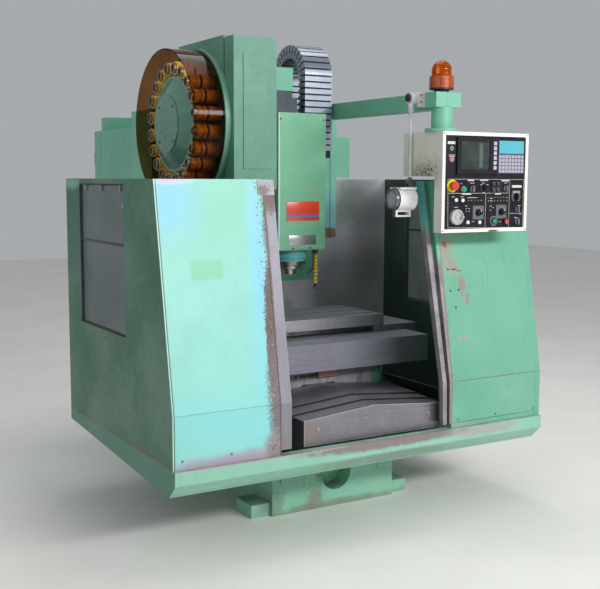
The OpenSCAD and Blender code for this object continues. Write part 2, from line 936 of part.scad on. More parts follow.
// sheet apron in front of the saddle
module saddle_apron() {
    front = -apron_front;
    color(dull_steel) {
        block([-apron_half_w, apron_half_w], [front, front + sheet_t], [apron_low, saddle_step_z + sheet_t]);
        block([-apron_half_w, apron_half_w], [front, -table_front], [saddle_step_z, saddle_step_z + sheet_t]);
        for (side = [-1, 1])
            block(side < 0 ? [-apron_half_w, -apron_half_w + sheet_t] : [apron_half_w - sheet_t, apron_half_w],
                [front, -table_front], [apron_low + 60, saddle_step_z + sheet_t]);
    }
}

// covers over the ends of the table rails
module table_wing_covers() {
    back = saddle_back - 12;
    color(dull_steel)
        for (side = [0, 1])
            mirror([side, 0, 0])
                difference() {
                    block([saddle_half_w, wing_half_w], [-table_front, back], [wing_low, wing_top]);
                    block([saddle_half_w + sheet_t, wing_half_w - sheet_t],
                        [-table_front + sheet_t, back - sheet_t], [wing_low - thru, wing_top - sheet_t]);
                    block([saddle_half_w - thru, apron_half_w + bite],
                        [-table_front - thru, -table_front + sheet_t + thru], [wing_low - thru, wing_low + 17]);
                }
}

// table with three tee slots along its length
module table() {
    middle = -table_front + table_w / 2;
    color(dull_steel)
        difference() {
            block([-table_half_l, table_half_l], [-table_front, -table_front + table_w], [table_low, table_top]);
            for (row = [-1:1])
                translate([0, middle + row * slot_pitch, 0]) {
                    block([-table_half_l - thru, table_half_l + thru], [-slot_w / 2, slot_w / 2],
                        [table_top - slot_mouth_d - thru, table_top + thru]);
                    block([-table_half_l - thru, table_half_l + thru], [-slot_foot_w / 2, slot_foot_w / 2],
                        [table_top - slot_mouth_d - slot_foot_h, table_top - slot_mouth_d]);
                }
        }
}

// head casting: nose block, slide on the rails, chain bracket
module head_casting() {
    slide_front = 60;
    slide_low = head_low - 33;
    inner_w = head_half_w - head_cover_t;
    strand = [chain_mid_y - chain_r, chain_mid_y - chain_inner_r];
    color(green)
        difference() {
            union() {
                block([-inner_w, inner_w], [-head_cover_front + head_cover_t, slide_front],
                    [head_low, head_top]);
                block([-slide_half_w, slide_half_w], [slide_front, slide_back],
                    [slide_low, slide_low + slide_h]);
                block([inner_w, chain_x - bite], strand, [chain_head_end - 60, chain_head_end + 140]);
            }
            for (side = [-1, 1])
                translate([side * head_rail_x - head_rail_w / 2, head_rail_front, slide_low - thru])
                    cube([head_rail_w, head_rail_d, slide_h + 2 * thru]);
        }
}

// sheet cover round the front of the head
module head_cover() {
    t = head_cover_t;
    color(green)
        difference() {
            block([-head_half_w, head_half_w], [-head_cover_front, -head_cover_back],
                [head_low, head_cover_top]);
            block([-head_half_w + t, head_half_w - t], [-head_cover_front + t, -head_cover_back + thru],
                [head_low - thru, head_cover_top - t]);
        }
}

// spindle housing with its steel nose ring
module spindle_housing() {
    ring_low = head_low - housing_h - nose_ring_h;
    difference() {
        union() {
            color(teal)
                bar_z(0, -spindle_y, [head_low - housing_h, head_low], housing_r);
            color(steel)
                bar_z(0, -spindle_y, [ring_low, head_low - housing_h], nose_ring_r);
            color(steel)
                for (turn = [30:60:330])
                    translate([0, -spindle_y, ring_low - 3])
                        rotate([0, 0, turn])
                            translate([71, 0, 0])
                                cylinder(h = 5, r = 5);
        }
        bar_z(0, -spindle_y, [ring_low - 4, head_low - 8], shaft_r + run_gap);
    }
}

// spindle with the tool taper in its tip and two drive keys
module spindle() {
    ring_low = head_low - housing_h - nose_ring_h;
    flange_top = ring_low - 3.5;
    flange_low = flange_top - spindle_flange_h;
    tip_low = flange_low - tip_h;
    bore_r = taper_r - taper_depth * 7 / 48;
    color(steel)
        difference() {
            union() {
                bar_z(0, -spindle_y, [flange_low, flange_top], spindle_flange_r);
                bar_z(0, -spindle_y, [flange_top, head_low - 12], shaft_r);
                bar_z(0, -spindle_y, [tip_low, flange_low], tip_r);
                for (side = [-1, 1])
                    translate([side * 25 - 8, -spindle_y - 8, tip_low - 8])
                        cube([16, 16, 8]);
            }
            translate([0, -spindle_y, tip_low])
                cylinder(h = taper_depth, r1 = taper_r, r2 = bore_r);
            bar_z(0, -spindle_y, [tip_low - 9, tip_low], taper_r);
            bar_z(0, -spindle_y, [tip_low + taper_depth - 1, head_low - 20], bore_r);
        }
}

// spindle motor: grey body, green fan cap
module spindle_motor() {
    y = [-motor_front, -motor_front + motor_depth];
    cap_low = head_top + motor_h;
    color(dull_steel)
        block([-motor_half_w, motor_half_w], y, [head_top, cap_low]);
    color(green)
        block([-motor_half_w - 3, motor_half_w + 3], [y[0] - 3, y[1] + 3], [cap_low, cap_low + motor_cap_h]);
    color(dull_steel)
        block([motor_half_w, motor_half_w + 40], [y[0] + 20, y[1] - 20], [head_top + 40, head_top + 110]);
}

// jointed coolant pipe under the head
module coolant_pipe() {
    x = 118;
    y = -240;
    end_z = 972;
    block_h = 24;
    bead_count = 9;
    bead_h = 14;
    top = head_low - block_h;
    color(steel)
        block([x - 12, x + 8], [y - 14, y + 14], [top, head_low]);
    color(black)
        bar_z(x, y, [end_z, top], 7);
    color(yellow)
        for (bead = [0:bead_count - 1])
            bar_z(x, y, [end_z + 30 + bead * 18, end_z + 30 + bead * 18 + bead_h], 10);
    color(steel)
        bar_z(x, y, [end_z, end_z + 12], 11);
}

// one link of the chain on a straight strand
module chain_link(y, z) {
    block([chain_x, chain_x + chain_w], y, z);
}

// cable chain: a front strand at the head, an arch, a back strand at the column
module cable_chain() {
    inset = 5;
    link_h = 31;
    core_x = [chain_x + inset, chain_x + chain_w - inset];
    front = [chain_mid_y - chain_r, chain_mid_y - chain_inner_r];
    back = [chain_mid_y + chain_inner_r, chain_mid_y + chain_r];
    front_links = floor((chain_arch_z - chain_head_end) / link_h);
    back_links = floor((chain_arch_z - chain_column_end) / link_h);
    link_turn = 180 / chain_arch_links;
    groove_turn = chain_groove / chain_r * 180 / PI;
    color(dull_steel) {
        block(core_x, [front[0] + inset, front[1] - inset], [chain_head_end, chain_arch_z]);
        block(core_x, [back[0] + inset, back[1] - inset], [chain_column_end, chain_arch_z]);
        translate([core_x[0], chain_mid_y, chain_arch_z])
            rotate([90, 0, 90])
                rotate_extrude_arc(chain_inner_r + inset, chain_r - inset, core_x[1] - core_x[0], 0, 180);
        for (link = [0:front_links - 1])
            chain_link(front, [chain_arch_z - (link + 1) * link_h + chain_groove,
                chain_arch_z - link * link_h]);
        for (link = [0:back_links - 1])
            chain_link(back, [chain_arch_z - (link + 1) * link_h + chain_groove,
                chain_arch_z - link * link_h]);
        for (link = [0:chain_arch_links - 1])
            translate([chain_x, chain_mid_y, chain_arch_z])
                rotate([90, 0, 90])
                    rotate_extrude_arc(chain_inner_r, chain_r, chain_w,
                        link * link_turn, (link + 1) * link_turn - groove_turn);
    }
}

// a flat ring sector in X and Y, standing h high
module rotate_extrude_arc(r_in, r_out, h, from, to) {
    rotate([0, 0, from])
        rotate_extrude(angle = to - from, $fn = 96)
            translate([r_in, 0])
                square([r_out - r_in, h]);
}

// carrier plate and drive box that hold the magazine to the column
module magazine_carrier() {
    left = -carrier_left;
    color(green) {
        block([left, left + carrier_t], [-carrier_front, 30], [carrier_low, carrier_top]);
        difference() {
            block([left + carrier_t, -drive_right], [-drive_front, column_front],
                [carrier_low + 14, carrier_top - drive_drop]);
            block([left, -pedestal_half_w], [column_front - cover_rib_t - 1, column_front + thru],
                [carrier_low, carrier_top]);
        }
        block([left + 51, -drive_right - 20], [-mag_cover_back, -drive_front],
            [carrier_low + 94, carrier_top - drive_drop - 20]);
        block([-drive_right, -drive_right + 60], [-250, -120], [arm_z + 80, arm_z + 210]);
    }
    color(steel)
        for (step = [0:3])
            bolt_front(-drive_right - 25, -drive_front, carrier_low + drive_bolt_up + step * drive_bolt_pitch, 12);
}

// tall front cover of the magazine drive with its raised flat panel
module magazine_cover() {
    x = [-carrier_left, -mag_cover_right];
    panel_x = [x[0] + mag_panel_left, x[1] - mag_panel_right];
    panel_z = [carrier_low + mag_panel_low, mag_cover_top - mag_panel_top];
    color(green) {
        block(x, [-mag_cover_front, -mag_cover_back], [carrier_low, mag_cover_top]);
        block(panel_x, [-mag_cover_front - 4, -mag_cover_front], panel_z);
    }
}

// green ring and back disc of the magazine, open below at the change place
module magazine_ring() {
    disc_t = 5;
    shaft_hole_r = 42;
    color(green)
        difference() {
            bar_x([-ring_left, -carrier_left], -spindle_y, drum_z, ring_r);
            bar_x([-ring_left - thru, -carrier_left - disc_t], -spindle_y, drum_z, ring_r - 12);
            bar_x([-ring_left - thru, -carrier_left + thru], -spindle_y, drum_z, shaft_hole_r);
        }
}

// clear shroud round the tools, open at its left end
module magazine_shroud() {
    color([0.6, 0.45, 0.3, 0.35])
        difference() {
            bar_x([-shroud_left, -ring_left], -spindle_y, drum_z, shroud_r);
            bar_x([-shroud_left - thru, -ring_left + thru], -spindle_y, drum_z, shroud_r - shroud_t);
        }
}

// places something at every tool station, with local X outward from the drum
module stations() {
    for (pot = [0:pot_count - 1])
        translate([0, -spindle_y, drum_z])
            rotate([(pot + 0.5) * pot_pitch, 0, 0])
                children();
}

// drum: shaft, many-sided rim, cone and flat front disc with its cap
module magazine_drum() {
    rim_corner = drum_rim_r / cos(pot_pitch / 2);
    color(green)
        translate([0, -spindle_y, drum_z])
            rotate([0, -90, 0]) {
                translate([0, 0, pot_back_x + 5])
                    linear_extrude(drum_front_x - pot_back_x - 10)
                        polygon([for (k = [0:pot_count - 1])
                            [rim_corner * cos(k * pot_pitch), rim_corner * sin(k * pot_pitch)]]);
                translate([0, 0, drum_front_x - 10])
                    cylinder(h = drum_cone_l, r1 = drum_rim_r - 2, r2 = drum_disc_r, $fn = 64);
                translate([0, 0, drum_front_x - 10 + drum_cone_l])
                    cylinder(h = 5, r = drum_disc_r - 8);
                for (turn = [0:90:270])
                    rotate([0, 0, turn + 45])
                        translate([drum_disc_r - 30, 0, drum_front_x - 8 + drum_cone_l])
                            cylinder(h = 8, r = 6);
            }
    color(steel)
        bar_x([-pot_back_x - 5, -carrier_left + 0], -spindle_y, drum_z, shaft_drum_r);
}

// twenty tool pots round the drum
module tool_pots() {
    neck_r = 23;
    neck_l = 12;
    neck_from = drum_front_x - 34;
    color(yellow)
        stations() {
            difference() {
                bar_x([-drum_front_x, -pot_back_x], 0, pot_circle_r, pot_r);
                difference() {
                    bar_x([-neck_from - neck_l, -neck_from], 0, pot_circle_r, pot_r + thru);
                    bar_x([-neck_from - neck_l - thru, -neck_from + thru], 0, pot_circle_r, neck_r);
                }
                bar_x([-drum_front_x - thru, -drum_front_x + 60], 0, pot_circle_r, socket_bore_r);
            }
            block([-neck_from + 10, -pot_back_x - 12], [-14, 14], [drum_rim_r, drum_rim_r + 20]);
        }
}

// dark steel socket rings in the mouths of the pots
module pot_sockets() {
    color(black)
        stations()
            difference() {
                bar_x([-pot_front_x, -drum_front_x], 0, pot_circle_r, socket_ring_r);
                bar_x([-pot_front_x - thru, -drum_front_x + thru], 0, pot_circle_r, socket_bore_r);
            }
}

// double tool-change arm, parked along Y
module change_arm() {
    x = change_x;
    arm_w = 50;
    jaw_r = 32;
    notch_r = 22;
    color(steel)
        difference() {
            union() {
                bar_z(x, -spindle_y, [arm_z, arm_z + 79.7], 28);
                block([x - arm_w / 2, x + arm_w / 2], [-spindle_y - arm_reach + 20, -spindle_y + arm_reach - 20],
                    [arm_z, arm_z + arm_t]);
                for (side = [-1, 1])
                    bar_z(x, -spindle_y + side * (arm_reach - 20), [arm_z, arm_z + arm_t], jaw_r);
            }
            for (side = [-1, 1])
                bar_z(x + side * 16, -spindle_y + side * (arm_reach - 12), [arm_z - thru, arm_z + arm_t + thru],
                    notch_r);
        }
}

// electrical cabinet on the back of the column, open towards its doors
module electrical_cabinet() {
    t = cabinet_wall;
    y = [column_back, column_back + cabinet_depth];
    color(green)
        difference() {
            block([-cabinet_half_w, cabinet_half_w], y, [cabinet_low, cabinet_top]);
            block([-cabinet_half_w + t, cabinet_half_w - t], [y[0] + t, y[1] + thru],
                [cabinet_low + t, cabinet_top - t]);
        }
    color(cream)
        block([-cabinet_half_w + 60, cabinet_half_w - 60], [y[0] + t, y[0] + t + 12],
            [cabinet_low + 80, cabinet_top - 80]);
}

// one rear door with its handle and hinge edge; side picks left or right
module cabinet_door(side) {
    y = column_back + cabinet_depth;
    edge_gap = 1;
    handle_x = 60;
    mirror([side < 0 ? 1 : 0, 0, 0]) {
        color(green)
            block([edge_gap, cabinet_half_w], [y, y + door_t], [cabinet_low + 2, cabinet_top - 2]);
        color(black)
            block([handle_x - 12, handle_x + 12], [y + door_t, y + door_t + 18], [1060, 1180]);
    }
}

module cabinet_door_left() {
    cabinet_door(-1);
}

module cabinet_door_right() {
    cabinet_door(1);
}

// low fan box on top of the cabinet
module cabinet_fan_box() {
    half_w = cabinet_half_w - fan_box_side;
    back = column_back + cabinet_depth - fan_box_set;
    color(green)
        block([-half_w, half_w], [back - fan_box_l, back], [cabinet_top, cabinet_top + fan_box_h]);
}

// square beam from the column to the pendant, with its head at the front
module pendant_arm() {
    head_back = -arm_head_front + arm_head_d;
    plate_t = 12;
    color(green) {
        block([arm_head_left, arm_head_right], [-arm_head_front, head_back],
            [arm_head_low, arm_head_low + arm_head_h]);
        difference() {
            block([beam_left, beam_left + beam_w], [head_back, column_front - plate_t],
                [beam_low, beam_low + beam_h]);
            bar_z(post_x, -post_y, [beam_low - thru, arm_head_low], post_r + 4);
        }
        block([beam_left - 8, beam_left + beam_w + 12], [column_front - plate_t, column_front],
            [beam_low - 60, beam_low + beam_h]);
    }
    color(steel)
        for (x = [beam_left + 6, beam_left + beam_w - 6])
            bolt_front(x, column_front - plate_t, beam_low - 32, 8);
}

// bracket of the work lamp on the arm's beam, with the pin of the pivot
module lamp_bracket() {
    knuckle_left = lamp_rod_x + 12.3;
    knuckle_r = 27;
    y = [-arm_head_front + arm_head_d + 2, -lamp_y - 24];
    color(cream) {
        block([knuckle_left + 4, beam_left], y,
            [lamp_pivot_z - 40, arm_head_low + arm_head_h - 1]);
        bar_x([knuckle_left, beam_left], -lamp_y, lamp_pivot_z, knuckle_r);
    }
    color(black) {
        bar_x([lamp_rod_x - 14, knuckle_left], -lamp_y, lamp_pivot_z, 8);
        bar_x([lamp_rod_x - 20, lamp_rod_x - 12.3], -lamp_y, lamp_pivot_z, 17);
    }
}

// lamp rod with an eye at the top and a knuckle at the bottom
module lamp_stem() {
    eye_r = 25;
    knuckle_r = 14;
    color(cream)
        difference() {
            union() {
                bar_x([lamp_rod_x - 12, lamp_rod_x + 12], -lamp_y, lamp_pivot_z, eye_r);
                bar_z(lamp_rod_x, -lamp_y, [lamp_pivot_z - 62, lamp_pivot_z - 18], 12);
                bar_z(lamp_rod_x, -lamp_y, [lamp_joint_z, lamp_pivot_z - 50], lamp_rod_r);
                bar_y(lamp_rod_x, [-lamp_y - 8, -lamp_y + 8], lamp_joint_z, knuckle_r);
            }
            bar_x([lamp_rod_x - 13, lamp_rod_x + 13], -lamp_y, lamp_pivot_z, 8 + run_gap);
        }
}

// lamp head: body, lens rim, top plate, fork at the pivot and handle below
module lamp_head() {
    y = -lamp_y;
    fork_t = 6;
    top = lamp_body_z + lamp_r;
    body_left = lamp_lens_x + 18;
    handle_low = lamp_body_z - lamp_r - 28;
    color(cream) {
        difference() {
            bar_x([body_left, lamp_back_x], y, lamp_body_z, lamp_r);
            bar_x([body_left - thru, lamp_back_x - 30], y, lamp_body_z, lamp_r - 8);
        }
        difference() {
            bar_x([lamp_lens_x, body_left], y, lamp_body_z, lamp_r - 6);
            bar_x([lamp_lens_x - thru, body_left - 10], y, lamp_body_z, lamp_r - 12);
        }
        block([body_left + 4, lamp_back_x + 1], [y - 40, y + 40], [top - 8, top + 2]);
        for (side = [-1, 1])
            translate([0, side < 0 ? y - 8.3 - fork_t : y + 8.3, 0]) {
                block([lamp_rod_x - 12, lamp_rod_x + 10], [0, fork_t], [top, lamp_joint_z]);
                translate([lamp_rod_x, fork_t, lamp_joint_z])
                    rotate([90, 0, 0])
                        cylinder(h = fork_t, r = 12);
            }
        difference() {
            block([body_left, lamp_back_x - 10], [y - 12, y + 12], [handle_low, lamp_body_z - lamp_r + 6]);
            block([body_left + 10, lamp_back_x - 20], [y - 13, y + 13], [handle_low + 8, handle_low + 22]);
        }
    }
    color(steel)
        bar_x([lamp_back_x, lamp_back_x + 1], y, lamp_body_z, 9);
}

// round base of the beacon
module beacon_base() {
    low = arm_head_low + arm_head_h;
    post_top = low + 46 + beacon_ring_h;
    color(black) {
        bar_z(beacon_x, -beacon_y, [low, low + 12], beacon_foot_r);
        difference() {
            bar_z(beacon_x, -beacon_y, [low + 12, low + 12 + beacon_ring_h], beacon_ring_r);
            for (turn = [0:45:315])
                translate([beacon_x, -beacon_y, low + 18])
                    rotate([0, 0, turn])
                        translate([beacon_ring_r, 0, 0])
                            cylinder(h = beacon_ring_h - 14, r = 4, $fn = 24);
        }
        bar_z(beacon_x, -beacon_y, [low + 12 + beacon_ring_h, post_top - 20], 8);
    }
}

// amber dome, hollow
module beacon_dome() {
    low = arm_head_low + arm_head_h + 12 + beacon_ring_h;
    round_r = 14;
    color([0.8, 0.4, 0.12, 0.6])
        difference() {
            translate([beacon_x, -beacon_y, low])
                rotate_extrude()
                    dome_outline(beacon_dome_r, beacon_dome_h, round_r);
            translate([beacon_x, -beacon_y, low - thru])
                rotate_extrude()
                    dome_outline(beacon_dome_r - beacon_wall, beacon_dome_h - beacon_wall + thru,
                        round_r - beacon_wall);
        }
}

// half outline of a flat-topped dome with a rounded shoulder
module dome_outline(r, h, shoulder) {
    polygon(concat([[0, 0], [r, 0]],
        [for (turn = [0:15:90]) [r - shoulder + shoulder * cos(turn), h - shoulder + shoulder * sin(turn)]],
        [[0, h]]));
}

// turning reflector inside the dome
module beacon_reflector() {
    low = arm_head_low + arm_head_h + 12 + beacon_ring_h + 8;
    color(steel)
        translate([beacon_x, -beacon_y, low])
            difference() {
                cylinder(h = 40, r = 28);
                translate([0, 0, -thru])
                    cylinder(h = 42, r = 25);
                translate([-40, -40, -thru])
                    cube([80, 40, 42]);
            }
    color(steel)
        translate([beacon_x, -beacon_y, low])
            difference() {
                cylinder(h = 3, r = 27);
                translate([0, 0, -thru])
                    cylinder(h = 5, r = 8.3);
            }
}

// post that carries the pendant
module pendant_post() {
    color(green) {
        bar_z(post_x, -post_y, [pendant_top, pendant_top + 14], post_flange_r);
        bar_z(post_x, -post_y, [pendant_top + 14, arm_head_low], post_r);
    }
}

// pendant housing: thin below, deep above the guard, frame round the face
module pendant_box() {
    x = [pendant_left, pendant_left + pendant_w];
    w = pendant_wall;
    f = pendant_frame_w;
    front = -pendant_front;
    color(cream)
        difference() {
            union() {
                block(x, [front, front + pendant_thin_d], [pendant_low, pendant_top]);
                block(x, [front, front + pendant_deep_d], [pendant_deep_z, pendant_top]);
            }
            block([x[0] + f, x[1] - f], [front - thru, -face_back + thru],
                [pendant_low + f, pendant_top - f]);
            block([x[0] + w, x[1] - w], [-face_back, front + pendant_thin_d - w],
                [pendant_low + w, pendant_top - w]);
            block([x[0] + w, x[1] - w], [-face_back, front + pendant_deep_d - w],
                [pendant_deep_z + w, pendant_top - w]);
        }
}

// a round boss on the control face
module face_boss(x, z, r, h) {
    bar_y(x, [-face_front - h, -face_front], z, r);
}

// control face with its fixed switches, lamps and dial plates
module panel_face() {
    x = [pendant_left + pendant_frame_w, pendant_left + pendant_w - pendant_frame_w];
    z = [pendant_low + pendant_frame_w, pendant_top - pendant_frame_w];
    color(black)
        difference() {
            union() {
                block(x, [-face_front, -face_back], z);
                for (place = [start_place, hold_place])
                    face_boss(place[0], place[1], button_r + 5, 6);
                for (place = dial_places)
                    block([place[0] - 31, place[0] + 31], [-face_front - 2, -face_front],
                        [place[1] - 30, place[1] + 30]);
                block(switch_x, [-face_front - 3, -face_front], switch_z);
            }
            for (place = [start_place, hold_place])
                bar_y(place[0], [-face_front - 7, -face_back + thru], place[1], button_r + bite);
            bar_y(stop_place[0], [-face_front - 7, -face_back + thru], stop_place[1], 8 + bite);
        }
    color(yellow)
        difference() {
            face_boss(stop_place[0], stop_place[1], 28, 2);
            face_boss(stop_place[0], stop_place[1], 8 + bite, 3);
        }
    color(cream)
        for (place = plain_button_places)
            face_boss(place[0], place[1], 8, 6);
    color(green)
        face_boss(lit_place[0], lit_place[1], button_r, 9);
    color(rust)
        face_boss(lamp_place[0], lamp_place[1], 9, 7);
    color(steel)
        for (place = selector_places) {
            face_boss(place[0], place[1], 14, 4);
            block([place[0] - 4, place[0] + 4], [-face_front - 14, -face_front - 4],
                [place[1] - 13, place[1] + 13]);
        }
}
// raised frame round the display, with its column of soft keys on the right
module display_bezel() {
    key_count = 6;
    key_h = 16;
    key_w = 17;
    edge = 6;
    key_x = (screen_x[1] + bezel_x[1] - key_w + edge) / 2;
    pitch = (screen_z[1] - screen_z[0] - key_h) / (key_count - 1);
    color("#4a4952") {
        difference() {
            block(bezel_x, [-face_front - 8, -face_front], bezel_z);
            block(screen_x, [-face_front - 9, -face_front + thru], screen_z);
        }
        for (key = [0:key_count - 1])
            block([key_x, key_x + key_w], [-face_front - 11, -face_front - 8],
                [screen_z[0] + key * pitch, screen_z[0] + key * pitch + key_h]);
    }
}

module display_screen() {
    color("#3d4b48")
        block(screen_x, [-face_front - 3, -face_front], screen_z);
}

// key field: rows of raised keys, with a raised blue field above them
module key_panel() {
    columns = 8;
    rows = 5;
    pitch_x = 18.5;
    pitch_z = 16;
    key_w = 14;
    key_h = 11;
    edge = 3;
    field_low = keys_z[0] + edge + rows * pitch_z + edge;
    color(cream)
        block(keys_x, [-face_front - 4, -face_front], keys_z);
    color("#f0efe8")
        for (column = [0:columns - 1])
            for (row = [0:rows - 1])
                translate([keys_x[0] + edge + column * pitch_x, -face_front - 6.5, keys_z[0] + edge + row * pitch_z])
                    cube([key_w, 2.5, key_h]);
    color("#3fb4d8")
        block([keys_x[0] + edge, keys_x[1] - edge], [-face_front - 5.5, -face_front - 4],
            [field_low, keys_z[1] - edge]);
}

// mushroom button on a stem that slides through the face
module emergency_stop() {
    color("#b3202a") {
        bar_y(stop_place[0], [-face_front - 12, -face_back - 0.5], stop_place[1], 8);
        bar_y(stop_place[0], [-face_front - 26, -face_front - 12], stop_place[1], stop_r);
    }
}

// a push button that slides in its collar
module push_button(place, tint) {
    color(tint)
        bar_y(place[0], [-face_front - 10, -face_back - 0.5], place[1], button_r);
}

module start_button() {
    push_button(start_place, "#3f9b5a");
}

module hold_button() {
    push_button(hold_place, "#c2402f");
}

// dial knob with a pointer ridge on a foot disc; lift is the plate below it
module dial_knob(place, r, lift) {
    y = -face_front - lift;
    color(black) {
        bar_y(place[0], [y - 4, y], place[1], r);
        bar_y(place[0], [y - 17, y - 4], place[1], r * 0.78);
        block([place[0] - 3, place[0] + 3], [y - 21, y - 17], [place[1] - r * 0.7, place[1] + r * 0.7]);
    }
}

module mode_knob() {
    dial_knob(mode_place, knob_r, 0);
}

module feed_knob() {
    dial_knob(feed_place, knob_r + 3, 2);
}

module rapid_knob() {
    dial_knob(rapid_place, knob_r + 3, 2);
}

// handwheel with a rim, a dished face and a crank grip
module handwheel() {
    y = -face_front;
    hub_r = 9;
    grip_r = 5;
    rim_w = 6;
    color("#b9b6b2") {
        difference() {
            bar_y(wheel_place[0], [y - 16, y], wheel_place[1], handwheel_r);
            bar_y(wheel_place[0], [y - 17, y - 11], wheel_place[1], handwheel_r - rim_w);
        }
        bar_y(wheel_place[0], [y - 15, y - 10], wheel_place[1], hub_r);
        bar_y(wheel_place[0] + handwheel_r - 2 * rim_w, [y - 30, y - 10], wheel_place[1], grip_r);
    }
}

base_casting();
column();
column_covers();
drip_pan();
left_side_panel();
left_front_panel();
left_window();
left_edge_strip();
corner_bracket();
right_side_panel();
right_front_panel();
right_window();
right_edge_strip();
rear_splash_sheet();
way_cover_front();
way_cover_middle();
way_cover_rear();
saddle();
saddle_apron();
table_wing_covers();
table();
head_casting();
head_cover();
spindle_housing();
spindle();
spindle_motor();
coolant_pipe();
cable_chain();
magazine_carrier();
magazine_cover();
magazine_ring();
magazine_shroud();
magazine_drum();
tool_pots();
pot_sockets();
change_arm();
electrical_cabinet();
cabinet_door_left();
cabinet_door_right();
cabinet_fan_box();
pendant_arm();
lamp_bracket();
lamp_stem();
lamp_head();
beacon_base();
beacon_dome();
beacon_reflector();
pendant_post();
pendant_box();
panel_face();
display_bezel();
display_screen();
key_panel();
emergency_stop();
start_button();
hold_button();
mode_knob();
feed_knob();
rapid_knob();
handwheel();
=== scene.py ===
import math

import bmesh
import bpy
from bpy.props import FloatProperty, FloatVectorProperty, PointerProperty
from mathutils import Matrix, Vector


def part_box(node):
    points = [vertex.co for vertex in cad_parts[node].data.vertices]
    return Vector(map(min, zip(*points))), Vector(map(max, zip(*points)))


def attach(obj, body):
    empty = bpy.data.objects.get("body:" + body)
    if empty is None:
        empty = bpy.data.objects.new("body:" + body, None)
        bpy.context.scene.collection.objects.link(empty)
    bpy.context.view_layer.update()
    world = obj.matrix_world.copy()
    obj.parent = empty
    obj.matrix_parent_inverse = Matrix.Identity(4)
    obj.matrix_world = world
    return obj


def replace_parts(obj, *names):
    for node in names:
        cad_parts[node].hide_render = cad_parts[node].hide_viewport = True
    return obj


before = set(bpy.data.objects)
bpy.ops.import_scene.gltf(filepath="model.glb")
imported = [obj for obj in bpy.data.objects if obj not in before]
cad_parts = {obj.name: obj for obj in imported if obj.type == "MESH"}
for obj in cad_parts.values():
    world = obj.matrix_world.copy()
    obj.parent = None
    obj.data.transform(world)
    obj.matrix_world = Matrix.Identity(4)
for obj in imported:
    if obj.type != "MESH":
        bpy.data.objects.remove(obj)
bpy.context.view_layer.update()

bl_info = {
    "name": "CNC Machining Center",
    "version": (1, 0, 0),
    "blender": (4, 5, 0),
    "location": "3D Viewport > Sidebar > Machine",
    "description": "Dresses a packed vertical machining center with its paint, wear, plates and small parts",
    "category": "Object",
}

MM = 0.001
WHITE = (1.0, 1.0, 1.0)
DUST = "#8f897c"
# painted shade: the share of the green kept on the left side wall, which looks away from the light
PAINTED_SIDE_SHADE = (0.22, 0.31, 0.27)
THIN_COAT = dict(Coat_Weight=0.1, Coat_Roughness=0.35)
THICK_COAT = dict(Coat_Weight=0.2, Coat_Roughness=0.2)
BUMP_DEPTH = 0.001
FLOOR_REACH = 14.0
CAMERA_PLACE = (-2.42947, -4.39359, 1.51286)
CAMERA_ANGLES = (30.6415, 6.6533, 0.20605)

# places on the machine, in millimetres
GUARD_FRONT = -985.5
GUARD_BACK = 254.0
GUARD_BEND_Z = 613.0
GUARD_LEAN = 190.5 / 897.0
SADDLE_FRONT = -465.0
FACE_Y = -1024.0
STOP_XZ = (325, 1484)
START_LAMP_XZ = (390, 1470)
DISPLAY_LAMP_XZ = (318, 1599)
START_XZ = (564, 1329)
DIALS_XZ = ((474, 1368), (607, 1370))
DRUM_YZ = (-185, 1754)
LAMP_YZ = (-821, 1424)
WINDOW_SEAM_Z = 1234
DOOR_BACK = 1193.0


def linear(value):
    """The linear values of a colour written as a web code; anything else comes back as it is."""
    if not isinstance(value, str):
        return value
    parts = [int(value[k:k + 2], 16) / 255 for k in (1, 3, 5)]
    return tuple(c / 12.92 if c <= 0.04045 else ((c + 0.055) / 1.055) ** 2.4 for c in parts)


def darker(colour, share):
    """A share of a colour's light."""
    return tuple(c * share for c in linear(colour))


def towards(colour, other, share):
    """A colour that has gone a share of the way to another."""
    return tuple(a + (b - a) * share for a, b in zip(linear(colour), linear(other)))


# settings


def colour_setting(name, description, code):
    return FloatVectorProperty(name=name, description=description, subtype="COLOR", size=3,
                               min=0.0, max=1.0, default=linear(code))


def share_setting(name, description, default):
    return FloatProperty(name=name, description=description, subtype="FACTOR",
                         min=0.0, max=1.0, default=default)


def length_setting(name, description, default_mm, high_mm):
    return FloatProperty(name=name, description=description, subtype="DISTANCE", unit="LENGTH",
                         min=0.0, max=high_mm * MM, default=default_mm * MM)


class PaintSettings(bpy.types.PropertyGroup):
    """Colours and ageing of the painted and metal parts."""
    green: colour_setting("Machine green", "Main paint of the guard, head, column and magazine", "#70bc9d")
    bleached: colour_setting("Bleached green", "Front sheet that sun and coolant have bleached", "#88d6c8")
    teal: colour_setting("Spindle teal", "Paint of the spindle housing and touched-up stripes", "#5fb5b0")
    cream: colour_setting("Pendant cream", "Paint of the pendant box and the lamp", "#ece7db")
    steel: colour_setting("Steel", "Bare and ground steel", "#9a98a4")
    grime: colour_setting("Grime", "Oily dirt that settles on everything", "#4a4238")
    rust: colour_setting("Rust", "Rust and worn primer", "#80523c")
    edge_wear: share_setting("Edge wear", "How much paint has gone from the edges", 0.45)
    dirt: share_setting("Dirt", "How much oily dirt the paint carries", 0.5)


class FittingSettings(bpy.types.PropertyGroup):
    """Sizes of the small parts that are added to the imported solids."""
    screw_r: length_setting("Screw radius", "Radius of the pan head screws in the sheets", 5.0, 12.0)
    screw_h: length_setting("Screw height", "How far a pan head stands off its sheet", 2.6, 6.0)
    plate_t: length_setting("Plate thickness", "Thickness of the bare plates on the head", 1.2, 4.0)
    line_w: length_setting("Outline width", "Width of the printed outlines on the control face", 1.5, 4.0)
    seal_w: length_setting("Seal width", "Width of the rubber seal round a window", 7.0, 20.0)


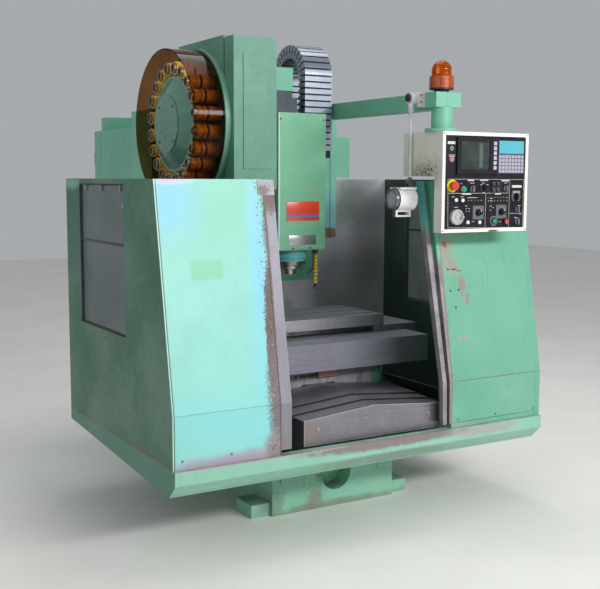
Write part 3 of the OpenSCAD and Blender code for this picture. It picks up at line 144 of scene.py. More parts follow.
class StageSettings(bpy.types.PropertyGroup):
    """Floor, light and camera."""
    floor: colour_setting("Floor", "Pale floor", "#f3f0ea")
    key: FloatProperty(name="Key light", description="Power of the big soft light in front",
                       subtype="POWER", min=0.0, max=5000.0, default=290.0)
    fill: FloatProperty(name="Sky light", description="Strength of the even light from all round",
                        min=0.0, max=4.0, default=0.42)
    lens: FloatProperty(name="Lens", description="Focal length on a 36 mm wide sensor",
                        subtype="DISTANCE_CAMERA", min=20.0, max=200.0, default=59.613)


# effects shared by the materials


class Wiring:
    """Short calls for adding nodes to one tree."""

    def __init__(self, tree):
        self.tree = tree

    def node(self, kind, settings=None, **sockets):
        made = self.tree.nodes.new("ShaderNode" + kind)
        for key, value in (settings or {}).items():
            setattr(made, key, value)
        for key, value in sockets.items():
            self.feed(made.inputs[key.replace("_", " ")], value)
        return made

    def feed(self, socket, value):
        """Links a node's result to a socket, or sets the socket to a number, a vector or a colour."""
        value = linear(value)
        if isinstance(value, bpy.types.NodeSocket):
            self.tree.links.new(value, socket)
        else:
            socket.default_value = (*value, 1.0) if socket.type == "RGBA" else value

    def maths(self, operation, a, b=0.0, clamp=False):
        made = self.node("Math", {"operation": operation, "use_clamp": clamp})
        self.feed(made.inputs[0], a)
        self.feed(made.inputs[1], b)
        return made.outputs[0]

    def times(self, a, b):
        return self.maths("MULTIPLY", a, b)

    def plus(self, a, b):
        return self.maths("ADD", a, b)

    def minus(self, a, b):
        return self.maths("SUBTRACT", a, b)

    def both(self, *masks):
        total = masks[0]
        for mask in masks[1:]:
            total = self.times(total, mask)
        return total

    def vectors(self, operation, *values):
        made = self.node("VectorMath", {"operation": operation})
        for socket, value in zip(made.inputs, values):
            self.feed(socket, value)
        return made

    def ramp(self, value, low, high, out_low=0.0, out_high=1.0):
        made = self.node("MapRange", {"interpolation_type": "SMOOTHSTEP"}, Value=value, From_Min=low,
                         From_Max=high, To_Min=out_low, To_Max=out_high)
        return made.outputs[0]

    def noise(self, place, scale, detail, rough):
        return self.node("TexNoise", Vector=place, Scale=scale, Detail=detail, Roughness=rough).outputs["Fac"]

    def mix(self, a, b, share, kind="RGBA"):
        return self.node("Mix", {"data_type": kind}, Factor=share, A=a, B=b).outputs["Result"]


EFFECTS = {}
EFFECT_PLANS = []


def shared_effect(key, label, *results, **values):
    """Marks a function that wires one shared effect; results and values are the names of its sockets."""
    def keep(wire):
        EFFECT_PLANS.append((key, label, results, values, wire))
        return wire
    return keep


def build_effects():
    """Builds each shared effect once, as a node group with named sockets."""
    for key, label, results, values, wire in EFFECT_PLANS:
        tree = bpy.data.node_groups.new(label, "ShaderNodeTree")
        tree.interface.new_socket("Vector", in_out="INPUT", socket_type="NodeSocketVector")
        names = [name.replace("_", " ") for name in values]
        for name, value in zip(names, values.values()):
            kind = "Float" if isinstance(value, float) else "Vector" if len(value) == 3 else "Color"
            socket = tree.interface.new_socket(name, in_out="INPUT", socket_type="NodeSocket" + kind)
            socket.default_value = value
        for name in results:
            kind = "Color" if name == "Colour" else "Float"
            tree.interface.new_socket(name, in_out="OUTPUT", socket_type="NodeSocket" + kind)
        given, out = tree.nodes.new("NodeGroupInput"), tree.nodes.new("NodeGroupOutput")
        made = wire(Wiring(tree), given.outputs["Vector"], *[given.outputs[name] for name in names])
        for name, result in zip(results, made):
            tree.links.new(result, out.inputs[name])
        EFFECTS[key] = tree


@shared_effect("edge", "Edge wear", "Mask", Width=0.004, Amount=0.5, Breakup=22.0)
def edge_wear(w, place, width, amount, breakup):
    """Mask of the places where a sharp edge has rubbed bare; the way covers also use it for a painted highlight.
    """
    rounded = w.node("Bevel", {"samples": 4}, Radius=width).outputs["Normal"]
    flat = w.node("NewGeometry").outputs["Normal"]
    turn = w.minus(1.0, w.vectors("DOT_PRODUCT", rounded, flat).outputs["Value"])
    bias = w.times(w.plus(w.noise(place, breakup, 4.0, 0.7), -0.78), 0.55)
    return [w.ramp(w.plus(w.plus(turn, bias), w.times(amount, 0.12)), 0.02, 0.1)]


@shared_effect("mottle", "Mottle", "Value", Scale=3.0, Fine_share=0.3)
def mottle(w, place, scale, fine_share):
    """Slow patchiness with a little fine variation."""
    slow = w.noise(place, scale, 4.0, 0.6)
    fine = w.noise(place, w.times(scale, 14.0), 3.0, 0.6)
    return [w.ramp(w.mix(slow, fine, fine_share, "FLOAT"), 0.32, 0.7)]


@shared_effect("runs", "Runs", "Mask", Across=30.0, Down=1.6, Amount=0.5)
def runs(w, place, across, down, amount):
    """Mask of streaks that ran down a wall."""
    stretch = w.node("CombineXYZ", X=across, Y=across, Z=down).outputs[0]
    streak = w.noise(w.vectors("MULTIPLY", place, stretch).outputs[0], 1.0, 3.0, 0.6)
    low = w.minus(0.78, w.times(amount, 0.35))
    return [w.ramp(streak, low, w.plus(low, 0.16))]


@shared_effect("patch", "Patch", "Mask", Centre=(0, 0, 0), Half_size=(0.1, 0.1, 0.1), Ragged=0.4, Grain=30.0,
               Soft=0.25)
def ragged_patch(w, place, centre, half_size, ragged, grain, soft):
    """Mask of one ragged patch at a place on the machine."""
    off = w.vectors("SUBTRACT", place, centre).outputs[0]
    reach = w.vectors("LENGTH", w.vectors("DIVIDE", off, half_size).outputs[0]).outputs["Value"]
    torn = w.times(w.minus(w.noise(place, grain, 5.0, 0.65), 0.5), w.times(ragged, 4.0))
    return [w.ramp(w.plus(reach, torn), w.minus(1.0, soft), w.plus(1.0, soft), 1.0, 0.0)]


@shared_effect("spatter", "Spatter", "Mask", Scale=120.0, Density=0.3)
def spatter(w, place, scale, density):
    """Mask of small spots of two sizes; denser where Density is high."""
    masks = []
    for factor in (1.0, 0.42):
        cells = w.node("TexVoronoi", Vector=place, Scale=w.times(scale, factor))
        chance = w.node("SeparateColor", Color=cells.outputs["Color"]).outputs[0]
        size = w.times(chance, 0.5)
        spot = w.ramp(cells.outputs["Distance"], size, w.plus(size, 0.14), 1.0, 0.0)
        masks.append(w.times(spot, w.maths("LESS_THAN", chance, density)))
    return [w.maths("MAXIMUM", *masks)]


@shared_effect("dust", "Settled dust", "Mask", Scale=12.0, Amount=0.5)
def settled_dust(w, place, scale, amount):
    """Mask of dust and chips on faces that look up."""
    up = w.node("SeparateXYZ", Vector=w.node("NewGeometry").outputs["Normal"]).outputs["Z"]
    cloud = w.ramp(w.noise(place, scale, 5.0, 0.65), 0.3, 0.72)
    return [w.both(w.ramp(up, 0.55, 0.95), cloud, amount)]


@shared_effect("rust", "Rust bloom", "Mask", "Colour", Scale=14.0, Amount=0.4, Rust=(0.2, 0.08, 0.03, 1))
def rust_bloom(w, place, scale, amount, rust):
    """Mask and colour of rust or grease that blooms in patches."""
    low = w.minus(0.75, w.times(amount, 0.4))
    mask = w.ramp(w.noise(place, scale, 8.0, 0.7), low, w.plus(low, 0.09))
    tone = w.noise(place, w.times(scale, 6.0), 4.0, 0.7)
    dark = w.vectors("SCALE", rust)
    dark.inputs["Scale"].default_value = 0.4
    return [mask, w.mix(rust, dark.outputs[0], w.ramp(tone, 0.35, 0.65))]


@shared_effect("grain", "Skin grain", "Height", Scale=160.0)
def skin_grain(w, place, scale):
    """Height of a fine sprayed or cast skin."""
    broad = w.noise(place, w.times(scale, 0.08), 2.0, 0.5)
    return [w.plus(w.times(w.noise(place, scale, 2.0, 0.5), 0.3), broad)]


@shared_effect("brushed", "Ground lines", "Value", Stretch=(4.0, 400.0, 400.0))
def ground_lines(w, place, stretch):
    """Lines of a ground or brushed face; Stretch is small along the lines."""
    return [w.noise(w.vectors("MULTIPLY", place, stretch).outputs[0], 1.0, 3.0, 0.65)]


# materials


class Finish(Wiring):
    """One material: a Principled shader, and the effects that are laid over its colour one after another."""

    def __init__(self, name, rough=0.5, metal=0.0, colour=None, **plain):
        self.material = bpy.data.materials.new(name)
        self.material.use_nodes = True
        super().__init__(self.material.node_tree)
        self.tree.nodes.clear()
        self.shader = self.node("BsdfPrincipled", **plain)
        self.node("OutputMaterial", Surface=self.shader.outputs[0])
        self.place = self.node("TexCoord").outputs["Object"]
        self.colour, self.rough, self.metal, self.height = colour, rough, metal, None

    def effect(self, key, *values):
        """The first result of a shared effect; the values are in the order of its sockets."""
        made = self.node("Group", {"node_tree": EFFECTS[key]}, Vector=self.place)
        for socket, value in zip(made.inputs[1:], values):
            self.feed(socket, value)
        return made.outputs[0]

    def blotch(self, scale, fine, dark, light):
        """Base colour that wanders between two; gives the mask, for what wanders with it."""
        patchy = self.effect("mottle", scale, fine)
        self.colour = self.mix(dark, light, patchy)
        return patchy

    def ground(self, stretch, dark, light):
        """Base colour of ground lines; gives their mask."""
        lines = self.effect("brushed", stretch)
        self.colour = self.mix(dark, light, lines)
        return lines

    def cover(self, mask, colour, rough=None, metal=None, strength=1.0):
        """Lays a colour, and if given a roughness and a metal share, over the finish where the mask is."""
        if strength != 1.0:
            mask = self.times(mask, strength)
        self.colour = self.mix(self.colour, colour, mask)
        if rough is not None:
            self.rough = self.mix(self.rough, rough, mask, "FLOAT")
        if metal is not None:
            self.metal = self.mix(self.metal, metal, mask, "FLOAT")

    def lay(self, key, values, *cover, **more):
        """Covers the finish where a shared effect is."""
        self.cover(self.effect(key, *values), *cover, **more)

    def bloom(self, values, *cover, **more):
        """Rust or grease in its own wandering colour."""
        mask = self.effect("rust", *values)
        self.cover(mask, mask.node.outputs["Colour"], *cover, **more)

    def patch_mask(self, centre, half, ragged, grain, soft):
        return self.effect("patch", [c * MM for c in centre], [h * MM for h in half], ragged, grain, soft)

    def patch(self, centre, half, colour, ragged, grain, soft, strength=1.0, rough=None, metal=None):
        """A ragged patch at a place given in millimetres."""
        self.cover(self.patch_mask(centre, half, ragged, grain, soft), colour, rough, metal, strength)

    def along(self, axis):
        """One coordinate of the machine's frame, in metres."""
        return self.node("SeparateXYZ", Vector=self.place).outputs[axis]

    def between(self, axis, low=None, high=None, soft=0.2):
        """Mask of what lies between two heights, widths or depths, in millimetres."""
        place = self.along(axis)
        return self.both(*[self.ramp(place, (limit - sign * soft) * MM, (limit + sign * soft) * MM)
                           for limit, sign in ((low, 1), (high, -1)) if limit is not None])

    def reach(self, a, b):
        """Length of a step that goes a one way and b across it."""
        return self.maths("SQRT", self.plus(self.times(a, a), self.times(b, b)))

    def disc(self, centre, radius, axes="XZ", soft=0.3):
        """Mask of what lies within a radius of a line; centre is its place on the two axes across it."""
        off = [self.minus(self.along(axis), c * MM) for axis, c in zip(axes, centre)]
        return self.ramp(self.reach(*off), (radius - soft) * MM, (radius + soft) * MM, 1.0, 0.0)

    def raise_by(self, height, share=1.0):
        part = self.times(height, share)
        self.height = part if self.height is None else self.plus(self.height, part)

    def clear_to_shadows(self, share):
        """Lets a share of the light through, so that what lies behind isn't in the dark."""
        shadow = self.node("LightPath").outputs["Is Shadow Ray"]
        self.feed(self.shader.inputs["Alpha"], self.minus(1.0, self.times(shadow, share)))

    def done(self, bump=0.0, grain=None):
        """Feeds the shader and gives the material; bump is the strength of all that has been raised."""
        if grain:
            self.raise_by(self.effect("grain", grain))
        for label, value in zip(("Base Color", "Roughness", "Metallic"), (self.colour, self.rough, self.metal)):
            self.feed(self.shader.inputs[label], value)
        if self.height is not None:
            made = self.node("Bump", Strength=bump, Distance=BUMP_DEPTH, Height=self.height)
            self.feed(self.shader.inputs["Normal"], made.outputs[0])
        return self.material


def sprayed(name, colour, paint, rough=0.42, dirt=1.0, wear=1.0, rust=0.0, patches=(), inside=()):
    """Sprayed machine paint: patchy shade, runs of dirt, worn edges, and patches of its own.

    inside gives limits of (axis, low, high) in millimetres within which the paint is nearly black."""
    skin = Finish(name, Coat_Weight=0.12, Coat_Roughness=0.3)
    patchy = skin.blotch(2.2, 0.25, darker(colour, 0.9), towards(colour, (0.9, 0.95, 0.9), 0.06))
    skin.rough = skin.ramp(patchy, 0.0, 1.0, rough + 0.1, rough - 0.05)
    skin.lay("runs", (34.0, 1.4, 0.55), towards(colour, paint.grime, 0.45), rough + 0.08,
             strength=0.7 * dirt * paint.dirt)
    for item in patches:
        skin.patch(*item)
    if inside:
        dark_inside = skin.both(*[skin.between(*limits) for limits in inside])
        skin.cover(dark_inside, skin.mix("#1c211d", "#39463d", patchy), 0.5, strength=0.88)
    if rust:
        skin.bloom((9.0, rust, paint.rust), 0.85)
    skin.lay("spatter", (60.0, 0.06 * dirt), towards(paint.grime, colour, 0.25), 0.5, strength=0.5)
    skin.lay("edge", (0.0035, paint.edge_wear * wear, 26.0), towards(paint.rust, paint.steel, 0.45),
             0.6, 0.25, strength=0.8 * min(wear, 1.0))
    skin.lay("dust", (9.0, 0.5 * dirt), DUST, 0.8)
    return skin.done(0.12, 190.0)


def metal_sheet(name, colour, paint, rough=0.42, stretch=(4.0, 220.0, 220.0), stain=0.6, rust=0.0, metal=0.85,
                patches=(), dust=0.5):
    """Bare or dull steel with ground lines, oil stains and some rust."""
    skin = Finish(name, rough, metal)
    lines = skin.ground(stretch, darker(colour, 0.7), towards(colour, WHITE, 0.12))
    skin.lay("mottle", (5.0, 0.35), towards(colour, paint.grime, 0.7), rough + 0.2, 0.3, strength=stain * 0.7)
    skin.rough = skin.mix(skin.rough, rough + 0.25, skin.times(lines, 0.5), "FLOAT")
    for item in patches:
        skin.patch(*item)
    if rust:
        skin.bloom((16.0, rust, paint.rust), 0.85, 0.05)
    skin.lay("edge", (0.002, 0.4, 40.0), towards(colour, WHITE, 0.45), rough - 0.1, 0.95, strength=0.6)
    skin.lay("dust", (14.0, dust), "#6e6a62", 0.85, 0.05)
    skin.raise_by(lines, 0.5)
    return skin.done(0.18)


def moulded(name, colour, paint, rough=0.4, dirt=0.4, **plain):
    """Moulded plastic or rubber with fine grain and a little dirt."""
    skin = Finish(name, **plain)
    patchy = skin.blotch(14.0, 0.4, darker(colour, 0.8), towards(colour, WHITE, 0.06))
    skin.rough = skin.ramp(patchy, 0.0, 1.0, rough + 0.12, rough - 0.06)
    skin.lay("rust", (30.0, 0.3 * dirt), darker(paint.grime, 0.7), strength=dirt)
    return skin.done(0.08, 700.0)


def see_through(name, tint, alpha, rough, haze, streaks, stretch):
    """A thin clear film: mostly see-through, with a pale haze and streaks that are partly scratches and dirt and
    partly a painted reflection.
    """
    skin = Finish(name, rough, colour=tint, Specular_IOR_Level=0.6)
    cloud = skin.effect("mottle", 6.0, 0.3)
    skin.cover(cloud, haze, rough + 0.1, strength=streaks)
    share = skin.plus(alpha, skin.times(skin.effect("runs", stretch, 2.4, 0.7), streaks * 0.25))
    share = skin.maths("ADD", share, skin.times(cloud, streaks * 0.2), clamp=True)
    skin.feed(skin.shader.inputs["Alpha"], share)
    return skin.done()


def layered(name, rough, blotch, layers=(), bump=0.06, grain=None, **plain):
    """Two colours that wander, and layers over them: (effect, its values, colour, roughness, metal, strength).

    The layer "zone" has limits of (axis, low, high, softness) for values, and "bloom" keeps its own colour."""
    skin = Finish(name, rough, **plain)
    skin.blotch(*blotch)
    for kind, values, *cover in layers:
        if kind == "zone":
            skin.cover(skin.both(*[skin.between(*limits) for limits in values]), *cover)
        elif kind == "bloom":
            skin.bloom(values, *cover)
        else:
            skin.lay(kind, values, *cover)
    return skin.done(bump, grain)


def wear_mesh(nodes, material):
    """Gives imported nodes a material."""
    for name in nodes.split():
        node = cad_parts[name]
        node.data.materials.clear()
        node.data.materials.append(material)


# stains, flakes and worn spots, and a few painted shades: centre and half size in millimetres, colour,
# raggedness, grain and softness, and where they differ from 1, None and None also strength, roughness and metal
# share

LEFT_SHEET_MARKS = (
    ((-690, -830, 1400), (190, 220, 190), "#6cc29c", 0.2, 4, 0.9, 0.6),
    ((-930, -830, 1430), (120, 220, 130), "#79c4e4", 0.15, 6, 0.9, 0.8),
    ((-548, -870, 1210), (34, 300, 320), "#7cc9e6", 0.12, 8, 0.5, 0.8),
    ((-740, -985, 560), (280, 60, 110), "#84d6da", 0.2, 6, 0.9, 0.6),
    ((-560, -940, 800), (50, 120, 300), "#86d6de", 0.3, 9, 0.8, 0.6),
    ((-494, -930, 815), (46, 400, 375), "#72625c", 0.16, 90, 0.1, 1.0, 0.75),
    ((-488, -930, 1310), (26, 400, 190), "#7d7688", 0.4, 70, 0.3, 0.8, 0.6),
    ((-500, -930, 640), (54, 400, 230), "#7c7072", 0.3, 120, 0.2, 0.8, 0.7),
    ((-640, -985, 404), (370, 40, 36), "#a9a0b0", 0.25, 14, 0.6, 1.0, 0.5, 0.4),
    ((-512, -985, 430), (54, 40, 66), "#94898c", 0.3, 20, 0.5, 1.0, 0.6, 0.3),
    ((-900, -830, 1508), (90, 60, 16), "#a9a3b4", 0.2, 20, 0.5, 1.0, 0.5, 0.4),
)
RIGHT_SHEET_MARKS = (
    ((412, -880, 1205), (34, 60, 52), "#a98f86", 0.5, 34, 0.4, 0.75, 0.8),
    ((436, -900, 1120), (40, 60, 40), "#a9908a", 0.55, 36, 0.4, 0.7, 0.8),
    ((408, -885, 1218), (12, 40, 14), "#8a6a5c", 0.6, 60, 0.3, 1.0, 0.85),
    ((488, -912, 1036), (18, 40, 46), "#9a7a74", 0.6, 44, 0.4, 0.75, 0.8),
    ((512, -925, 975), (12, 40, 24), "#9a7a74", 0.6, 50, 0.4, 0.7, 0.8),
    ((640, -985, 613), (300, 20, 2.2), "#6d5a50", 0.05, 30, 0.3, 0.75),
    ((450, -898, 1108), (22, 30, 4), "#6b4f48", 0.5, 60, 0.3, 1.0, 0.8),
    ((478, -898, 1100), (16, 30, 3), "#7a5f58", 0.5, 60, 0.3, 1.0, 0.8),
    ((416, -897, 1109), (5, 20, 5), "#1e1a18", 0.1, 80, 0.2),
    ((419, -914, 1013), (5, 20, 5), "#1e1a18", 0.1, 80, 0.2),
    ((467, -914, 1015), (5, 20, 5), "#1e1a18", 0.1, 80, 0.2),
    ((442, -927, 938), (5, 20, 5), "#1e1a18", 0.1, 80, 0.2),
    ((470, -955, 800), (26, 30, 9), "#a9938a", 0.6, 50, 0.4, 0.7, 0.8),
    ((640, -985, 424), (300, 20, 2.0), "#3d5a4c", 0.05, 30, 0.3, 0.8),
    ((450, -985, 404), (90, 40, 12), "#a79a94", 0.4, 18, 0.5, 0.6, 0.7),
    ((382, -930, 830), (5, 400, 430), "#8a726a", 0.35, 40, 0.3, 1.0, 0.7),
)
GUARD_INSIDE = (("X", -967.2, 911.2), ("Y", None, 250))
PAN_INSIDE = (("X", -967.5, 911.5), ("Y", -955, 249), ("Z", 298, 425))
PAN_MARKS = (
    # painted shade: the pan's left face, which looks away from the light, in the darker green of the left wall
    ((-969, -370, 345), (2.5, 900, 200), "#46806a", 0.02, 30, 0.1),
    ((45, -1001, 388), (400, 14, 24), "#8d8382", 0.25, 24, 0.3, 1.0, 0.55, 0.4),
    ((560, -1001, 380), (190, 14, 26), "#a9a09c", 0.4, 20, 0.4, 0.7, 0.6),
    ((-560, -1001, 400), (420, 20, 5), "#b0a6a6", 0.4, 26, 0.3, 1.0, 0.5, 0.3),
    ((60, -978, 315), (330, 40, 30), "#8d857e", 0.4, 14, 0.5, 0.6, 0.7),
    ((0, -300, 404), (900, 640, 10), "#6b6a60", 0.6, 8, 0.4, 0.6, 0.6),
)
BASE_MARKS = (
    ((-20, -612, 150), (70, 30, 30), "#7b5a4a", 0.4, 50, 0.5, 0.8, 0.85),
    ((-110, -612, 50), (40, 20, 50), "#84705f", 0.6, 50, 0.5, 0.6, 0.85),
    ((-330, -612, 60), (60, 60, 50), "#6a7a66", 0.6, 18, 0.5, 0.6, 0.8),
    ((0, -612, 6), (420, 60, 22), "#7d7a6c", 0.5, 14, 0.5, 0.7, 0.85),
)
COLUMN_COVER_MARKS = (
    ((470, 230, 1330), (100, 40, 130), "#86c4c6", 0.4, 12, 0.3),
    ((470, 230, 1212), (90, 40, 50), "#83685a", 0.7, 22, 0.25, 1.0, 0.8),
    ((402, 230, 1500), (8, 30, 330), "#7a6a5c", 0.6, 24, 0.2, 1.0, 0.8),
)
HEAD_COVER_MARKS = (
    ((-128, -310, 1500), (6, 30, 330), "#bfe6d0", 0.3, 30, 0.3),
    ((60, -310, 1420), (60, 20, 70), "#8fae88", 0.7, 18, 0.4, 0.4),
    ((0, -310, 1176), (140, 20, 8), "#7f8f80", 0.6, 40, 0.3, 0.7),
)
SIDE_WALL_MARKS = (
    ((-969, 180, 1490), (40, 120, 26), "#9cc4b2", 0.3, 20, 0.5, 0.6),
    ((-969, -700, 408), (40, 400, 14), "#6c6a5c", 0.4, 12, 0.5, 0.6, 0.8),
    ((-969, -480, 820), (40, 24, 16), "#6f6457", 0.5, 30, 0.5, 0.6, 0.8),
    ((-969, -241, 815), (10, 5, 5), "#16201a", 0.1, 80, 0.2),
    ((-969, -404, 827), (10, 5, 5), "#16201a", 0.1, 80, 0.2),
    ((-969, -493, 771), (10, 5, 5), "#16201a", 0.1, 80, 0.2),
)
STRIP_MARKS = (
    ((-470, -840, 1440), (34, 60, 60), "#856c62", 0.5, 70, 0.4, 0.8, 0.8, 0.1),
    ((-494, -900, 1150), (4, 200, 320), "#7f6a60", 0.4, 60, 0.3, 1.0, 0.8, 0.1),
    ((-470, -985, 440), (30, 60, 40), "#8d8480", 0.4, 40, 0.6, 0.6, 0.7),
)
BRACKET_MARKS = (
    ((-500, -830, 1464), (26, 60, 22), "#8c7a74", 0.7, 110, 0.3, 0.8, 0.8, 0.1),
)
# painted light: the splash sheet's marks are lightened to make up for the guard's shade
SPLASH_MARKS = (
    ((620, 240, 1000), (200, 60, 500), "#96949a", 0.5, 5, 0.5, 0.6, 0.6),
    ((0, 229, 700), (300, 40, 160), "#827e7c", 0.7, 9, 0.4, 0.6, 0.5),
    ((690, 240, 1370), (150, 60, 150), "#3f6052", 0.4, 6, 0.8, 0.75, 0.5),
    # painted shade: a darker upright band where shade falls on the sheet
    ((770, 240, 1180), (110, 60, 420), "#6f6d72", 0.3, 5, 0.8, 0.7, 0.5),
)


# the operators' common part


class MachineOperator(bpy.types.Operator):
    """One step of dressing the machine."""
    bl_idname = "machine.step"
    bl_label = "Step"
    bl_options = {"REGISTER", "UNDO"}

    def execute(self, context):
        scene = context.scene
        self.work(scene.machine_paint, scene.machine_fittings, scene.machine_stage)
        return {"FINISHED"}

    def work(self, paint, fittings, stage):
        raise NotImplementedError


class MACHINE_OT_effects(MachineOperator):
    """Builds the shader groups that the materials share"""
    bl_idname = "machine.effects"
    bl_label = "Shared effects"

    def work(self, paint, fittings, stage):
        build_effects()


class MACHINE_OT_guard_finish(MachineOperator):
    """Paints the splash guard, its strips, the drip pan and the windows"""
    bl_idname = "machine.guard_finish"
    bl_label = "Guard finish"

    def work(self, paint, fittings, stage):
        green = paint.green
        wear_mesh("left_front_panel", self.bleached_sheet(paint))
        wear_mesh("right_front_panel", sprayed("right_sheet", darker(green, 0.86), paint, 0.36, wear=1.2,
                                               patches=RIGHT_SHEET_MARKS))
        # Painted shade: the side walls are darker copies of the front green, the left wall deeply and the right
        # wall at 0.7, for sides that look away from the light.
        painted_left_shade = tuple(a * b for a, b in zip(green, PAINTED_SIDE_SHADE))
        for side, colour in (("left", painted_left_shade), ("right", darker(green, 0.7))):
            wear_mesh(side + "_side_panel", sprayed(side + "_wall_sheet", colour, paint, 0.46, dirt=0.5,
                                                    patches=SIDE_WALL_MARKS, inside=GUARD_INSIDE))
        wear_mesh("drip_pan", sprayed("pan_paint", towards(green, (0.75, 0.8, 0.75), 0.16), paint, 0.42,
                                      dirt=1.5, wear=1.6, rust=0.15, patches=PAN_MARKS, inside=PAN_INSIDE))
        for node, name, colour, rough, stretch, *rest in (
                ("left_edge_strip", "strip_steel", darker(paint.steel, 0.8), 0.45, (260.0, 260.0, 5.0),
                 0.35, 0.25, 0.55, STRIP_MARKS),
                ("corner_bracket", "bracket_steel", "#b9b6bd", 0.5, (90.0, 90.0, 90.0),
                 0.6, 0.45, 0.4, BRACKET_MARKS),
                # Painted light: the near-white steel of the rear splash sheet makes up for the shade the guard
                # casts on it.
                ("rear_splash_sheet", "splash_steel", "#e2e0e6", 0.5, (6.0, 6.0, 60.0),
                 0.5, 0.12, 0.2, SPLASH_MARKS)):
            wear_mesh(node, metal_sheet(name, colour, paint, rough, stretch, *rest))
        wear_mesh("right_edge_strip", self.channel_paint(paint))
        # The window film's pale haze and streaks are partly dirt and partly painted reflection.
        wear_mesh("left_window right_window",
                  see_through("window_film", "#435557", 0.66, 0.2, "#7d9193", 0.4, 9.0))

    def bleached_sheet(self, paint):
        pale = paint.bleached
        skin = Finish("bleached_sheet", 0.4, **THIN_COAT)
        skin.blotch(1.8, 0.15, darker(pale, 0.86), towards(pale, (0.8, 0.95, 0.92), 0.1))
        skin.lay("mottle", (4.5, 0.4), "#86c2ae", 0.45, strength=0.35)
        for item in LEFT_SHEET_MARKS:
            skin.patch(*item)
        touched = skin.both(skin.between("X", -843, -705, soft=9), skin.between("Z", 1119, 1199, soft=9))
        skin.cover(touched, "#74c48c", 0.42, strength=0.6)
        flakes = skin.effect("spatter", 230.0, 0.6)
        skin.cover(skin.both(flakes, skin.between("X", -544, -470, soft=14)), "#4a3a36", 0.7, strength=0.8)
        chips = skin.effect("spatter", 170.0, 0.45)
        skin.cover(skin.both(chips, skin.between("X", -552, -512, soft=14)), "#a9c9d0", 0.5, strength=0.7)
        # Painted shadow: a dark line along the edge where the sheet meets the steel strip.
        skin.cover(skin.between("X", low=-500, soft=1.5), "#3a3230", 0.6, strength=0.8)
        # Painted shade and highlight at the folded left edge: a dark line for the gap to the side wall, then a
        # pale line for the light on the fold.
        skin.cover(skin.between("X", high=-960, soft=1.5), "#2f5044", 0.5, strength=0.85)
        skin.cover(skin.between("X", high=-965, soft=0.8), "#bfe8d6", 0.42)
        skin.cover(skin.between("Z", 612, 614.5, soft=0.6), "#4f7a70", 0.5, strength=0.7)
        skin.lay("spatter", (50.0, 0.03), "#4d5c55", 0.5, strength=0.5)
        skin.lay("edge", (0.003, paint.edge_wear, 40.0), "#8d8588", 0.55, 0.3, 0.8)
        return skin.done(0.1, 190.0)

    def channel_paint(self, paint):
        skin = Finish("channel_paint", 0.5, 0.45)
        stain = skin.blotch(9.0, 0.4, "#7c7577", "#aaa5a8")
        web = skin.ramp(skin.minus(skin.along("Y"), self.guard_face(skin)), 18 * MM, 26 * MM)
        skin.cover(web, skin.mix("#3f3236", "#6d5a58", stain), 0.7, 0.1)
        chips = skin.effect("mottle", 26.0, 0.5)
        upper = self.torn_above(skin, chips, 0.09, 1.24, 1.27)
        skin.cover(skin.both(skin.between("X", high=352, soft=4), upper), paint.teal, 0.45, 0.0)
        painted = self.torn_above(skin, chips, 0.12, 1.1, 1.14)
        right_lip = skin.both(skin.between("X", low=357), skin.minus(1.0, web))
        skin.cover(skin.both(right_lip, painted), paint.green, 0.42, 0.0)
        skin.bloom((30.0, 0.3, paint.rust), 0.85, 0.1, 0.8)
        skin.lay("edge", (0.003, 0.6, 30.0), "#b3aeb2", 0.45, 0.6, 0.8)
        skin.lay("runs", (60.0, 2.0, 0.6), paint.grime, 0.6, strength=0.35)
        return skin.done(0.15, 200.0)

    def torn_above(self, skin, chips, tear, low, high):
        """Mask of what lies above a height in metres, its lower edge torn by chips."""
        return skin.ramp(skin.minus(skin.along("Z"), skin.times(chips, tear)), low, high)

    def guard_face(self, skin):
        """How far back the guard's front face lies at each height, in metres."""
        rise = skin.maths("MAXIMUM", skin.minus(skin.along("Z"), GUARD_BEND_Z * MM), 0.0)
        return skin.plus(skin.times(rise, GUARD_LEAN), GUARD_FRONT * MM)


